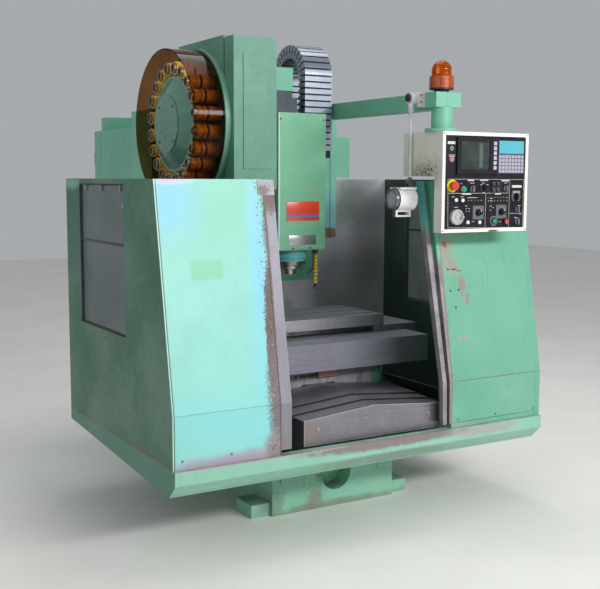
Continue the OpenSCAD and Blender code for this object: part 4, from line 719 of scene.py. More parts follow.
class MACHINE_OT_casting_finish(MachineOperator):
    """Paints the base, column, head, magazine casing and cabinet"""
    bl_idname = "machine.casting_finish"
    bl_label = "Casting finish"

    def work(self, paint, fittings, stage):
        green = paint.green
        for nodes, name, colour, rough, more in (
                ("base_casting", "base_paint", towards(green, (0.7, 0.72, 0.66), 0.14), 0.5,
                 dict(dirt=1.7, wear=1.3, rust=0.2, patches=BASE_MARKS)),
                ("column head_casting pendant_arm pendant_post", "machine_paint", green, 0.4, {}),
                ("magazine_carrier magazine_ring magazine_cover", "magazine_paint", darker(green, 0.6), 0.42,
                 dict(dirt=0.8)),
                ("column_covers", "cover_paint", green, 0.45, dict(dirt=1.3, patches=COLUMN_COVER_MARKS)),
                ("head_cover", "head_paint", towards(green, "#7cc08c", 0.4), 0.36,
                 dict(dirt=0.6, wear=0.8, patches=HEAD_COVER_MARKS)),
                ("cabinet_fan_box", "fan_box_paint", darker(green, 0.9), 0.45, dict(dirt=1.4))):
            wear_mesh(nodes, sprayed(name, colour, paint, rough, **more))
        wear_mesh("saddle", self.saddle_paint(paint, green))
        wear_mesh("electrical_cabinet", self.cabinet_paint(paint, green))
        wear_mesh("cabinet_door_left cabinet_door_right", self.door_paint(paint, green))
        wear_mesh("spindle_housing", self.housing_paint(paint))
        wear_mesh("spindle_motor", self.motor_paint(green))

    def saddle_paint(self, paint, green):
        skin = Finish("saddle_paint", 0.45)
        patchy = skin.blotch(5.0, 0.3, darker(green, 0.45), darker(green, 0.7))
        plate = skin.both(skin.between("X", -340, 306, soft=2), skin.between("Y", high=-463.5))
        skin.cover(plate, skin.mix("#85868b", "#a6a7ad", patchy), 0.5, 0.15)
        skin.cover(skin.between("Z", low=650), "#4a4b50", 0.45, 0.6, 0.9)
        skin.cover(skin.between("Z", low=767.5), "#8a8a90", 0.3, 0.9)
        skin.lay("runs", (30.0, 3.0, 0.7), paint.grime, 0.5, strength=0.5)
        skin.bloom((12.0, 0.3, paint.grime), 0.6, 0.0, 0.7)
        skin.lay("edge", (0.003, paint.edge_wear, 26.0), "#8c8a88", 0.5, 0.4, 0.7)
        return skin.done(0.12, 190.0)

    def cabinet_paint(self, paint, green):
        inside = (("Y", 551, 566), ("X", -441, 441), ("Z", 559, 1699))
        return layered("cabinet_paint", 0.42, (1.6, 0.25, darker(green, 0.78), darker(green, 0.98)), (
            ("zone", inside, paint.cream, 0.5), ("runs", (26.0, 1.0, 0.6), paint.grime, 0.55, None, 0.3),
            ("dust", (6.0, 0.75), DUST, 0.85)), 0.12, 190.0, **THIN_COAT)

    def door_paint(self, paint, green):
        return layered("door_paint", 0.42, (1.9, 0.25, darker(green, 0.8), green), (
            ("runs", (30.0, 1.2, 0.5), paint.grime, 0.55, None, 0.3),
            ("edge", (0.003, paint.edge_wear, 26.0), "#8c8a88", 0.5, 0.4, 0.7),
            ("zone", [("Y", DOOR_BACK + 0.5)], "#24242a", 0.35)), 0.12, 190.0, **THIN_COAT)

    def housing_paint(self, paint):
        skin = Finish("housing_paint", 0.38)
        skin.blotch(12.0, 0.3, darker(paint.teal, 0.75), paint.teal)
        ring = skin.between("Z", high=1114)
        lines = skin.effect("brushed", (20.0, 20.0, 900.0))
        skin.cover(ring, skin.mix("#6f6a64", "#d2ccc4", lines), 0.24, 0.95)
        skin.bloom((30.0, 0.3, paint.grime), 0.45, 0.0, 0.7)
        return skin.done(0.1, 200.0)

    def motor_paint(self, green):
        return layered("motor_paint", 0.5, (10.0, 0.3, "#343845", "#4c5160"), (
            ("zone", [("Z", 1940)], darker(green, 0.9), 0.42), ("dust", (16.0, 0.7), DUST, 0.85)), 0.12, 200.0)


class MACHINE_OT_steel_finish(MachineOperator):
    """Gives the covers, table, chain and moving steel parts their metal"""
    bl_idname = "machine.steel_finish"
    bl_label = "Steel finish"

    def work(self, paint, fittings, stage):
        for node in ("way_cover_front", "way_cover_middle", "way_cover_rear"):
            wear_mesh(node, self.cover_steel(node, paint))
        wear_mesh("table", self.table_steel(paint))
        wear_mesh("cable_chain", self.chain_steel())
        wear_mesh("coolant_pipe", self.pipe_finish(paint))
        for nodes, name, colour, rough, stretch, stain, rust, metal, dust in (
                ("saddle_apron table_wing_covers", "apron_steel", "#8b8c9b", 0.36, (5.0, 160.0, 160.0),
                 0.6, 0.16, 0.6, 0.5),
                ("spindle", "spindle_steel", "#c9c4bd", 0.2, (30.0, 30.0, 900.0), 0.3, 0.0, 1.0, 0.0),
                ("change_arm", "arm_steel", "#8c8a8c", 0.35, (8.0, 120.0, 120.0), 0.5, 0.1, 0.9, 0.5)):
            wear_mesh(nodes, metal_sheet(name, colour, paint, rough, stretch, stain, rust, metal, dust=dust))

    def cover_steel(self, node, paint):
        """Folded sheet of the way cover: its lip painted dark as shade under the section in front, its folds
        painted bright, partly as rubbed steel and partly as a painted highlight.
        """
        skin = Finish(node + "_steel", 0.34, 0.85)
        lines = skin.ground((5.0, 160.0, 160.0), "#7a7880", "#a19ea6")
        skin.lay("mottle", (4.0, 0.3), "#68636a", 0.5, 0.4, 0.55)
        front = node_box(node)[1][0]
        if node == "way_cover_front":
            skin.cover(skin.both(skin.between("Y", high=front + 1.5), skin.between("Z", high=424, soft=14)),
                       "#7f7168", 0.55, 0.3, 0.7)
            skin.patch((-330, front, 445), (60, 20, 60), "#8b8280", 0.4, 14.0, 0.6, 1.0, 0.5, 0.5)
        skin.bloom((18.0, 0.2, paint.rust), 0.8, 0.1, 0.5)
        # Painted highlight along the folds, laid through the edge wear mask, together with rubbed steel.
        skin.lay("edge", (0.0045, 0.66, 9.0), "#f2eff2", 0.4, 0.3, 0.9)
        # Painted shade: the lip under the section in front is painted near black.
        if node != "way_cover_front":
            skin.cover(skin.between("Y", high=front + 5.0, soft=1.0), "#1f1d20", 0.5, 0.3)
        skin.lay("dust", (14.0, 0.35), "#5c5a5c", 0.7, 0.2)
        skin.raise_by(lines, 0.5)
        return skin.done(0.14)

    def chain_steel(self):
        """Bright link plates with black gaps: what lies under the links' faces is in the dark."""
        skin = Finish("chain_steel", 0.3, 0.8)
        lines = skin.ground((9.0, 90.0, 90.0), "#7f8592", "#b4bac6")
        skin.lay("mottle", (9.0, 0.4), "#6d747c", 0.4, 0.7, 0.35)
        x, y, z = node_box("cable_chain")
        half = (y[1] - y[0]) / 2
        off_y = skin.minus(skin.along("Y"), sum(y) / 2 * MM)
        off_z = skin.maths("MAXIMUM", skin.minus(skin.along("Z"), (z[1] - half) * MM), 0.0)
        reach = skin.reach(off_y, off_z)
        under = skin.both(skin.ramp(reach, (half - 1.2) * MM, (half - 0.6) * MM, 1.0, 0.0),
                          skin.between("X", x[0] + 1.5, x[1] - 1.5, soft=0.3),
                          skin.ramp(reach, (half - 64.0) * MM, (half - 63.0) * MM))
        skin.cover(under, "#16161c", 0.7, 0.0)
        skin.raise_by(lines, 0.5)
        return skin.done(0.14)

    def table_steel(self, paint):
        skin = Finish("table_steel", 0.34, 0.8)
        lines = skin.ground((4.0, 260.0, 260.0), "#94939a", "#cccbd2")
        skin.lay("mottle", (7.0, 0.4), "#7d746e", 0.5, 0.4, 0.45)
        skin.bloom((20.0, 0.22, paint.rust), 0.8, 0.1, 0.8)
        x, y, z = node_box("table")
        # Painted shade: the inside of the table's slots is painted near black.
        slot_shade = skin.both(skin.between("X", x[0] + 3, x[1] - 3), skin.between("Y", y[0] + 3, y[1] - 3),
                          skin.between("Z", high=z[1] - 1.5))
        skin.cover(slot_shade, "#1a191c", 0.6, 0.2, 0.9)
        skin.lay("edge", (0.003, 0.6, 40.0), "#d8d4d0", 0.25, 1.0, 0.7)
        skin.raise_by(lines, 0.5)
        return skin.done(0.15)

    def pipe_finish(self, paint):
        skin = Finish("coolant_pipe", 0.4, colour="#26262b")
        bead = skin.minus(1.0, skin.disc((118, -240), 8.5, "XY"))
        skin.cover(bead, "#d9b23c", 0.35)
        skin.cover(skin.between("Z", low=1148), "#7c7a78", 0.4, 0.8)
        skin.cover(skin.between("Z", high=985), "#6f6c68", 0.35, 0.8)
        skin.bloom((60.0, 0.35, paint.grime), 0.5, 0.0, 0.7)
        return skin.done(0.08, 400.0)


class MACHINE_OT_magazine_finish(MachineOperator):
    """Paints the tool magazine's drum, pots, sockets and clear shroud"""
    bl_idname = "machine.magazine_finish"
    bl_label = "Magazine finish"

    def work(self, paint, fittings, stage):
        green = paint.green
        wear_mesh("magazine_drum", sprayed("drum_paint", darker(green, 0.5), paint, 0.2, dirt=0.7, wear=0.9))
        wear_mesh("tool_pots", self.pot_plastic(paint))
        wear_mesh("pot_sockets", metal_sheet("socket_steel", "#8d8a90", paint, 0.3, (90.0, 90.0, 90.0),
                                             0.4, 0.0, 0.8))
        wear_mesh("magazine_shroud", self.shroud_acrylic())

    def pot_plastic(self, paint):
        skin = Finish("pot_plastic", 0.35, **THICK_COAT)
        skin.blotch(16.0, 0.4, "#e0a80c", "#ffd22a")
        inner = skin.both(skin.between("X", low=-566), skin.minus(1.0, skin.between("X", low=-554)))
        skin.cover(inner, "#3b2a3c", 0.4)
        skin.bloom((34.0, 0.3, paint.grime), 0.5, strength=0.55)
        return skin.done(0.06, 500.0)

    def shroud_acrylic(self):
        skin = Finish("shroud_acrylic", 0.04, Transmission_Weight=1.0, IOR=1.16)
        haze = skin.blotch(4.0, 0.3, "#946a44", "#7c5638")
        skin.rough = skin.ramp(haze, 0.0, 1.0, 0.03, 0.08)
        skin.clear_to_shadows(0.8)
        return skin.done()


# discs of colour on the black face: centres, radius, colour and metal share
FACE_DISCS = (
    ((STOP_XZ,), 28.4, "#e6cf1c", None),
    (((347, 1423), (384, 1422), (415, 1326), (482, 1325)), 8.4, "#e9e4dc", None),
    ((START_LAMP_XZ,), 11.5, "#2f9d72", None),
    ((DISPLAY_LAMP_XZ,), 9.5, "#cf6a74", None),
    (((438, 1471), (631, 1472), (702, 1380), (704, 1324)), 14.5, "#8f8d94", 0.9),
)


class MACHINE_OT_pendant_finish(MachineOperator):
    """Gives the control pendant its paint, black face, keys and knobs"""
    bl_idname = "machine.pendant_finish"
    bl_label = "Pendant finish"

    def work(self, paint, fittings, stage):
        wear_mesh("pendant_box", self.box_paint(paint))
        wear_mesh("panel_face", self.face_finish())
        wear_mesh("display_bezel", self.bezel_plastic())
        wear_mesh("key_panel", self.key_plastic(paint))
        wear_mesh("mode_knob feed_knob rapid_knob", self.knob_plastic())
        for node, name, colour, rough, dirt, coat in (
                ("display_screen", "screen_back", "#2c3430", 0.12, 0.1, 0.0),
                ("emergency_stop", "stop_red", "#d2202c", 0.28, 0.25, 0.3),
                ("start_button", "start_green", "#1f9c6c", 0.3, 0.3, 0.2),
                ("hold_button", "hold_red", "#d8383a", 0.3, 0.3, 0.2),
                ("handwheel", "wheel_plastic", "#b9b6b2", 0.35, 0.5, 0.0)):
            wear_mesh(node, moulded(name, colour, paint, rough, dirt, Coat_Weight=coat))

    def box_paint(self, paint):
        cream = paint.cream
        skin = Finish("pendant_paint", 0.42, Coat_Weight=0.1, Coat_Roughness=0.3)
        skin.blotch(4.0, 0.25, darker(cream, 0.86), towards(cream, WHITE, 0.15))
        skin.cover(skin.between("Y", high=FACE_Y - 0.5), "#f1eee6", 0.35, strength=0.8)
        side = skin.between("X", high=268.6)
        cloud = skin.patch_mask((268, -905, 1535), (50, 110, 60), 0.35, 26.0, 0.9)
        wide = skin.patch_mask((268, -900, 1570), (60, 160, 130), 0.3, 18.0, 0.8)
        dense = skin.effect("spatter", 230.0, skin.times(cloud, 0.95))
        sparse = skin.effect("spatter", 150.0, skin.times(wide, 0.35))
        skin.cover(skin.both(side, cloud), "#8d8674", 0.45, strength=0.55)
        skin.cover(skin.both(side, skin.maths("MAXIMUM", dense, sparse)), "#3a3128", 0.35)
        skin.cover(skin.both(skin.effect("runs", 50.0, 4.0, 0.5), side), "#8c7c5e", 0.5, strength=0.4)
        skin.patch((560, -1028, 1285), (30, 20, 6), "#7a5a44", 0.4, 60.0, 0.3, 1.0, 0.8)
        skin.lay("edge", (0.002, 0.4, 40.0), "#8a8478", 0.6, 0.2, 0.6)
        return skin.done(0.1, 260.0)

    def face_finish(self):
        skin = Finish("face_print", Specular_IOR_Level=0.3)
        skin.blotch(10.0, 0.3, "#0c0b12", "#1b1a22")
        proud = skin.between("Y", high=FACE_Y - 0.6, soft=0.15)
        for centres, radius, colour, metal in FACE_DISCS:
            for centre in centres:
                skin.cover(skin.both(skin.disc(centre, radius), proud), colour, metal=metal)
        for x, z in DIALS_XZ:
            near = skin.both(skin.between("X", x - 31.5, x + 31.5), skin.between("Z", z - 30.5, z + 30.5))
            skin.cover(skin.both(near, proud), "#6f7176", metal=0.4)
        skin.rough = skin.ramp(skin.effect("mottle", 22.0, 0.5), 0.0, 1.0, 0.5, 0.3)
        return skin.done(0.06, 600.0)

    def bezel_plastic(self):
        keys = (("Y", None, FACE_Y - 8.6, 0.15), ("X", 536))
        return layered("bezel_plastic", 0.4, (14.0, 0.4, "#0e0d13", "#1f1e26"), (
            ("zone", keys, "#b9b6c0", 0.4), ("rust", (30.0, 0.12), "#4a4438", 0.6, None, 0.3)), 0.08, 700.0,
            Specular_IOR_Level=0.3)

    def key_plastic(self, paint):
        tops = ("Y", None, FACE_Y - 4.4, 0.1)
        return layered("key_plastic", 0.35, (24.0, 0.4, "#736e80", "#8f8a9b"), (
            ("zone", [tops], "#b3afbf", 0.3), ("zone", [("Z", 1622.5)], "#1d1c24", 0.35),
            ("zone", (("Z", 1625.5), tops), "#5ab2c4", 0.3),
            ("bloom", (40.0, 0.25, paint.grime), 0.5, None, 0.35)), 0.05, 600.0)

    def knob_plastic(self):
        pointers = [(("X", x - 1.6, x + 1.6), ("Z", z + 3, z + 17), ("Y", None, FACE_Y - 18.2, 0.1))
                    for x, z in DIALS_XZ]
        return layered("knob_plastic", 0.32, (40.0, 0.4, "#121215", "#26262b"),
                       [("zone", pointer, "#d6d3cc", 0.4) for pointer in pointers], 0.06, 600.0)


class MACHINE_OT_lamp_and_beacon_finish(MachineOperator):
    """Gives the work lamp and the amber beacon their paint and metal"""
    bl_idname = "machine.lamp_and_beacon_finish"
    bl_label = "Lamp and beacon finish"

    def work(self, paint, fittings, stage):
        wear_mesh("lamp_head", layered("lamp_paint", 0.32, (16.0, 0.3, "#d6d3d2", "#f3f1f1"), (
            ("zone", [("X", None, 168.2)], "#8f8c92", 0.3, 0.8), ("zone", [("Z", 1477.5)], "#565260", 0.4, 0.3),
            ("runs", (60.0, 8.0, 0.5), "#b8a98f", 0.45, None, 0.35),
            ("edge", (0.0015, 0.3, 60.0), "#77736e", 0.5, 0.3, 0.6)), grain=400.0, **THICK_COAT))
        wear_mesh("lamp_stem", layered("stem_paint", 0.3, (20.0, 0.3, "#bdbac4", "#e4e2e8"), (
            ("zone", [("Z", None, 1521)], "#4b4756", 0.4, 0.2),
            ("zone", [("Z", 1521, 1720, 60)], "#b7b0b4", 0.35, 0.3, 0.6)), grain=400.0, **THICK_COAT))
        wear_mesh("lamp_bracket", layered("bracket_cream", 0.35, (18.0, 0.3, "#c6c0b0", "#ece8de"), (
            ("zone", [("X", None, 262)], "#34303e", 0.4, 0.1),
            ("edge", (0.0015, 0.3, 60.0), "#8f8a80", 0.5, 0.2, 0.6)), grain=400.0))
        wear_mesh("beacon_base", layered("beacon_base", 0.35, (22.0, 0.3, "#983a14", "#bb5526"), (
            ("zone", [("Z", None, 1903)], "#2b2422", 0.4),), grain=400.0))
        wear_mesh("beacon_reflector", metal_sheet("reflector_steel", "#d9d4cc", paint, 0.18,
                                                  (40.0, 40.0, 40.0), 0.2, 0.0, 1.0, dust=0.0))


# mesh work


def node_box(name):
    """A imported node's box at rest, in millimetres: three pairs, low and high."""
    low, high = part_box(name)
    return [(a / MM, b / MM) for a, b in zip(low, high)]


def about(middle, half):
    return middle - half, middle + half


def on_circle(centre, radius, angle):
    return centre[0] + radius * math.cos(angle), centre[1] + radius * math.sin(angle)


def in_axes(axis, first, second, along):
    """A point given by two coordinates across an axis, in X Y Z order, and one along it."""
    point = [first, second]
    point.insert("XYZ".index(axis), along)
    return Vector(point)


class Shape:
    """A mesh being made, in millimetres of the machine's frame."""

    def __init__(self):
        self.mesh = bmesh.new()

    def soften(self, verts, size, steps):
        """Rounds the edges between some corners; size 0 leaves them sharp."""
        if size > 0:
            edges = list(dict.fromkeys(e for v in verts for e in v.link_edges))
            bmesh.ops.bevel(self.mesh, geom=edges, offset=size, segments=steps, profile=0.5, affect="EDGES",
                            clamp_overlap=True)

    def box(self, x, y, z, size=0.0, steps=2, turn=None):
        """A block between pairs of coordinates, its edges rounded; turn is a matrix about its middle."""
        middle = Vector((sum(x) / 2, sum(y) / 2, sum(z) / 2))
        spans = Matrix.Diagonal((abs(x[1] - x[0]), abs(y[1] - y[0]), abs(z[1] - z[0]), 1.0))
        place = Matrix.Translation(middle) @ (turn or Matrix.Identity(4)) @ spans
        made = bmesh.ops.create_cube(self.mesh, size=1.0, matrix=place)
        self.soften(made["verts"], size, steps)

    def prism(self, outline, axis, span, size=0.0, steps=2):
        """A flat outline carried from one coordinate to another along an axis, its edges rounded."""
        low, high = [[self.mesh.verts.new(in_axes(axis, a, b, along)) for a, b in outline] for along in span]
        self.mesh.faces.new(low)
        self.mesh.faces.new(list(reversed(high)))
        for k in range(len(outline)):
            n = (k + 1) % len(outline)
            self.mesh.faces.new((low[n], low[k], high[k], high[n]))
        self.soften(low + high, size, steps)

    def border(self, x, z, width, axis, span, size):
        """Four strips that frame a rectangle, mitred at the corners, inside the pairs given."""
        (x0, x1), (z0, z1) = x, z
        outer = [(x0, z0), (x1, z0), (x1, z1), (x0, z1)]
        inner = [(x0 + width, z0 + width), (x1 - width, z0 + width), (x1 - width, z1 - width),
                 (x0 + width, z1 - width)]
        for k in range(4):
            n = (k + 1) % 4
            self.prism([outer[k], outer[n], inner[n], inner[k]], axis, span, size, 1)

    def turned(self, centre, axis, base, profile, steps, facing=1):
        """A profile turned about a line; radius 0 closes an end.

        It holds pairs of a radius and a distance from the base, which looks along the axis if facing is 1."""
        rings = []
        for radius, off in profile:
            along = base + facing * off
            if radius < 1e-6:
                rings.append([self.mesh.verts.new(in_axes(axis, *centre, along))] * steps)
                continue
            points = [on_circle(centre, radius, 2 * math.pi * k / steps) for k in range(steps)]
            rings.append([self.mesh.verts.new(in_axes(axis, *point, along)) for point in points])
        for first, second in zip(rings, rings[1:]):
            for k in range(steps):
                n = (k + 1) % steps
                corners = list(dict.fromkeys((first[k], first[n], second[n], second[k])))
                if len(corners) > 2:
                    self.mesh.faces.new(corners)

    def rod(self, points, radii, sides=12, close=False):
        """A round bar along a line of points, with a radius for each point and capped ends."""
        spots = [Vector(p) for p in points]
        count = len(spots)
        rings = []
        side = None
        for k, spot in enumerate(spots):
            before = spots[k - 1] if k or close else spot
            after = spots[(k + 1) % count] if k < count - 1 or close else spot
            along = (after - before).normalized()
            if side is None:
                side = along.orthogonal().normalized()
            side = (side - along * side.dot(along)).normalized()
            other = along.cross(side)
            rings.append([self.mesh.verts.new(spot + (side * math.cos(a) + other * math.sin(a)) * radii[k])
                          for a in (2 * math.pi * s / sides for s in range(sides))])
        for first, second in list(zip(rings, rings[1:])) + ([(rings[-1], rings[0])] if close else []):
            for s in range(sides):
                n = (s + 1) % sides
                self.mesh.faces.new((first[s], first[n], second[n], second[s]))
        if not close:
            self.mesh.faces.new(list(reversed(rings[0])))
            self.mesh.faces.new(rings[-1])

    def screws(self, places, axis, facing, radius, height):
        """Pan heads with sockets, standing on faces that look along the axis; facing is 1 or -1."""
        deep = height * 0.45
        profile = [(0.0, height - deep), (radius * 0.38, height - deep), (radius * 0.42, height),
                   (radius * 0.7, height * 0.94), (radius * 0.92, height * 0.62), (radius, height * 0.25),
                   (radius, -0.4), (0.0, -0.4)]
        for place in places:
            across = list(place)
            base = across.pop("XYZ".index(axis))
            self.turned(across, axis, base, profile, 20, facing)

    def piece(self, name, material, body, smooth=40.0):
        """Closes the mesh and adds it to the scene as one piece of the machine."""
        bmesh.ops.recalc_face_normals(self.mesh, faces=self.mesh.faces[:])
        bmesh.ops.scale(self.mesh, vec=(MM, MM, MM), verts=self.mesh.verts[:])
        made = bpy.data.meshes.new(name)
        self.mesh.to_mesh(made)
        self.mesh.free()
        made.shade_smooth()
        made.set_sharp_from_angle(angle=math.radians(smooth))
        made.materials.append(material)
        thing = bpy.data.objects.new(name, made)
        bpy.context.scene.collection.objects.link(thing)
        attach(thing, body)
        return thing


# pieces

FINISHES = {}


def add_screws(name, finish, body, slot, places, *kind):
    """Adds one piece that is all screws."""
    shape = Shape()
    shape.screws(places, *kind)
    shape.piece(name, FINISHES[finish], body)


class MACHINE_OT_fitting_finishes(MachineOperator):
    """Makes the finishes that the small pieces share"""
    bl_idname = "machine.fitting_finishes"
    bl_label = "Fitting finishes"

    def work(self, paint, fittings, stage):
        every_way = (300.0, 300.0, 300.0)
        FINISHES["screw"] = metal_sheet("screw_steel", "#8b8890", paint, 0.32, every_way, 0.4, 0.2, 0.9)
        FINISHES["dark_screw"] = metal_sheet("dark_screw", "#3a3840", paint, 0.4, every_way, 0.3, 0.1, 0.7)
        for key, name, colour, rough, dirt in (
                ("rubber", "seal_rubber", "#232326", 0.6, 0.4), ("ivory", "ivory_plate", "#dedad2", 0.35, 0.4),
                ("print", "white_print", "#d8d6dc", 0.45, 0.3), ("black", "black_plastic", "#1b1b1f", 0.38, 0.3),
                ("grey", "grey_plastic", "#8c8b92", 0.38, 0.4)):
            FINISHES[key] = moulded(name, colour, paint, rough, dirt)


class MACHINE_OT_head_plates(MachineOperator):
    """Adds the bare badge plate, the bare silver plate and the screws on the head cover"""
    bl_idname = "machine.head_plates"
    bl_label = "Head plates"

    def work(self, paint, fittings, stage):
        front = node_box("head_cover")[1][0]
        face = front - fittings.plate_t / MM
        width, height = (-87, 95), (1313, 1405)
        badge = Shape()
        badge.box(width, (face, front), height, 0.9)
        badge.border(width, height, 3.0, "Y", (face - 0.5, face + 0.2), 0.3)
        badge.screws([(x, face, z) for x in (-80, 88) for z in (1320, 1398)], "Y", -1, 2.4, 1.0)
        badge.piece("head_badge", self.badge_paint(), "head")
        label = Shape()
        label.box((-72, 78), (face, front), (1198, 1244), 0.7)
        label.screws([(x, face, 1221) for x in (-66, 72)], "Y", -1, 2.4, 0.9)
        label.piece("head_label", self.label_metal(), "head")
        places = ((-50, front, 1181), (45, front, 1183), (-118, front, 1790), (118, front, 1790))
        add_screws("head_cover_screws", "dark_screw", "head", "dull_steel", places, "Y", -1,
                   fittings.screw_r / MM, fittings.screw_h / MM)

    def badge_paint(self):
        return layered("badge_enamel", 0.32, (14.0, 0.4, "#d8371f", "#f0512f"), (
            ("zone", [("Z", 1330, 1342)], "#4a7fb8", 0.32), ("rust", (30.0, 0.45), "#a8503f", 0.5, None, 0.5),
            ("edge", (0.0015, 0.6, 60.0), "#b9b2aa", 0.35, 0.8)), Coat_Weight=0.3, Coat_Roughness=0.2)

    def label_metal(self):
        skin = Finish("plate_metal", 0.3, 0.8)
        lines = skin.ground((6.0, 400.0, 400.0), "#9a979c", "#d2cfd2")
        skin.lay("mottle", (30.0, 0.5), "#7e7a7c", 0.45, 0.5, 0.4)
        skin.raise_by(lines)
        return skin.done(0.1)


class MACHINE_OT_window_fittings(MachineOperator):
    """Adds the rubber seals, the clips and the seam strips of the side windows"""
    bl_idname = "machine.window_fittings"
    bl_label = "Window fittings"

    def work(self, paint, fittings, stage):
        seal = fittings.seal_w / MM
        for side, inner, outer in (("left", -956.0, -966.0), ("right", 900.0, 910.0)):
            y, z = node_box(side + "_window")[1:]
            rubber = Shape()
            rubber.border(y, z, seal, "X", (outer, (inner + outer) / 2), 1.2)
            rubber.piece(side + "_window_seal", FINISHES["rubber"], "frame")
            strip = Shape()
            x = sorted((outer + math.copysign(3.0, inner - outer), inner))
            strip.box(x, (y[0] + seal, y[1] - seal), about(WINDOW_SEAM_Z, 5), 1.0)
            strip.piece(side + "_window_seam", FINISHES["dark_screw"], "frame")
        clips = Shape()
        for y, z in ((-22, 1470), (-223, 1470), (-456, 1470), (-488, 1402)):
            clips.box((-968.4, -962.0), about(y, 8), about(z, 13), 1.5)
        clips.piece("left_window_clips", FINISHES["grey"], "frame")


class MACHINE_OT_guard_fasteners(MachineOperator):
    """Adds the screws that hold the sheets of the splash guard"""
    bl_idname = "machine.guard_fasteners"
    bl_label = "Guard fasteners"

    def work(self, paint, fittings, stage):
        radius, height = fittings.screw_r / MM, fittings.screw_h / MM
        places = [(x, GUARD_FRONT, 437) for x in (-930, -720, -530, 420, 640, 875)]
        add_screws("guard_front_screws", "screw", "frame", "bare_steel", places, "Y", -1, radius, height)
        places = [(x, GUARD_BACK, z) for x in (-900, -640, 640, 850) for z in (440, 960, 1470)]
        add_screws("guard_back_screws", "screw", "frame", "bare_steel", places, "Y", 1, radius, height * 0.2)


class MACHINE_OT_screen_glass(MachineOperator):
    """Adds the bulged glass of the display"""
    bl_idname = "machine.screen_glass"
    bl_label = "Display glass"

    def work(self, paint, fittings, stage):
        x, y, z = node_box("display_screen")
        bulge, gap, columns, rows = 3.6, 0.8, 24, 18
        glass = Shape()
        grid = []
        for r in range(rows + 1):
            v = 2 * r / rows - 1
            height = z[0] + gap + (z[1] - z[0] - 2 * gap) * r / rows
            line = []
            for c in range(columns + 1):
                u = 2 * c / columns - 1
                lift = bulge * (1 - u * u) * (1 - 0.35 * v * v) + bulge * 0.55 * (1 - v * v)
                across = x[0] + gap + (x[1] - x[0] - 2 * gap) * c / columns
                line.append(glass.mesh.verts.new((across, y[0] - 0.3 - min(lift, bulge), height)))
            grid.append(line)
        for low, high in zip(grid, grid[1:]):
            for c in range(columns):
                glass.mesh.faces.new((low[c], low[c + 1], high[c + 1], high[c]))
        edge = grid[0] + [line[-1] for line in grid[1:]] + list(reversed(grid[-1][:-1]))
        edge += [line[0] for line in reversed(grid[1:-1])]
        glass.mesh.faces.new(list(reversed(edge)))
        glass.piece("display_glass", self.crt(), "pendant", 60.0)

    def crt(self):
        # painted reflection: a pale upright strip on the glass of the display
        painted_reflection = (("X", 470, 488, 6), ("Z", 1565, 1668, 8))
        return layered("display_glass", 0.08, (16.0, 0.2, "#1f2a25", "#3a4640"), (
            ("zone", painted_reflection, "#70827a", 0.12, None, 0.5), ("rust", (24.0, 0.3), "#4f5850", 0.4, None, 0.5)),
            Specular_IOR_Level=0.7, Coat_Weight=0.5, Coat_Roughness=0.05)


# in this print, x and z in millimetres across and up the machine
# printed lines from one point to another
FACE_OUTLINES = (
    ((302, 1513), (737, 1512)), ((737, 1512), (738, 1297)), ((738, 1297), (307, 1304)),
    ((307, 1304), (302, 1513)), ((516, 1302), (516, 1450)), ((654, 1303), (654, 1511)),
    ((303, 1452), (654, 1452)), ((654, 1361), (738, 1361)),
)
# bare plates: left, right, low and high
FACE_PLATES = (
    (412, 448, 1505, 1511), (481, 528, 1506, 1511), (606, 650, 1504, 1510), (668, 726, 1476, 1487),
    (381, 433, 1446, 1451), (569, 603, 1446, 1451), (297, 338, 1662, 1674),
)
# short strokes in place of lettering: left, right and height
FACE_LABELS = (
    (324, 340, 1437), (374, 390, 1437), (413, 469, 1433), (339, 361, 1392), (400, 414, 1397), (404, 412, 1385),
    (420, 428, 1385), (404, 412, 1374), (420, 428, 1374), (541, 556, 1428), (541, 556, 1418), (541, 552, 1395),
    (556, 564, 1388), (541, 549, 1377), (609, 621, 1399), (596, 609, 1325), (440, 455, 1328), (706, 722, 1396),
    (716, 726, 1357), (686, 698, 1343), (674, 718, 1460), (674, 718, 1455), (305, 338, 1616), (305, 338, 1611),
    (491, 505, 1497), (498, 512, 1455), (484, 496, 1489), (519, 531, 1489), (372, 380, 1494), (426, 450, 1496),
    (622, 640, 1497), (692, 710, 1340), (586, 600, 1391), (618, 630, 1391), (452, 462, 1391), (486, 498, 1391),
)
# centre, inner and outer radius, number of ticks, first angle and sweep in half turns, and the face they are on
DIAL_TICKS = (
    (DIALS_XZ[0], 18.5, 24.0, 15, -0.75, 1.5, FACE_Y - 2.0),
    (DIALS_XZ[1], 18.5, 24.0, 9, -0.6, 1.2, FACE_Y - 2.0),
    ((507, 1477), 16.0, 21.0, 9, -0.7, 1.4, FACE_Y),
    ((695, 1435), 17.0, 27.0, 19, -0.78, 1.56, FACE_Y),
)
# first place, then how many in a row
INDICATOR_ROWS = ((532, 1418, 7), (532, 1433, 7), (419, 1421, 5))
INDICATOR_PITCH = 18


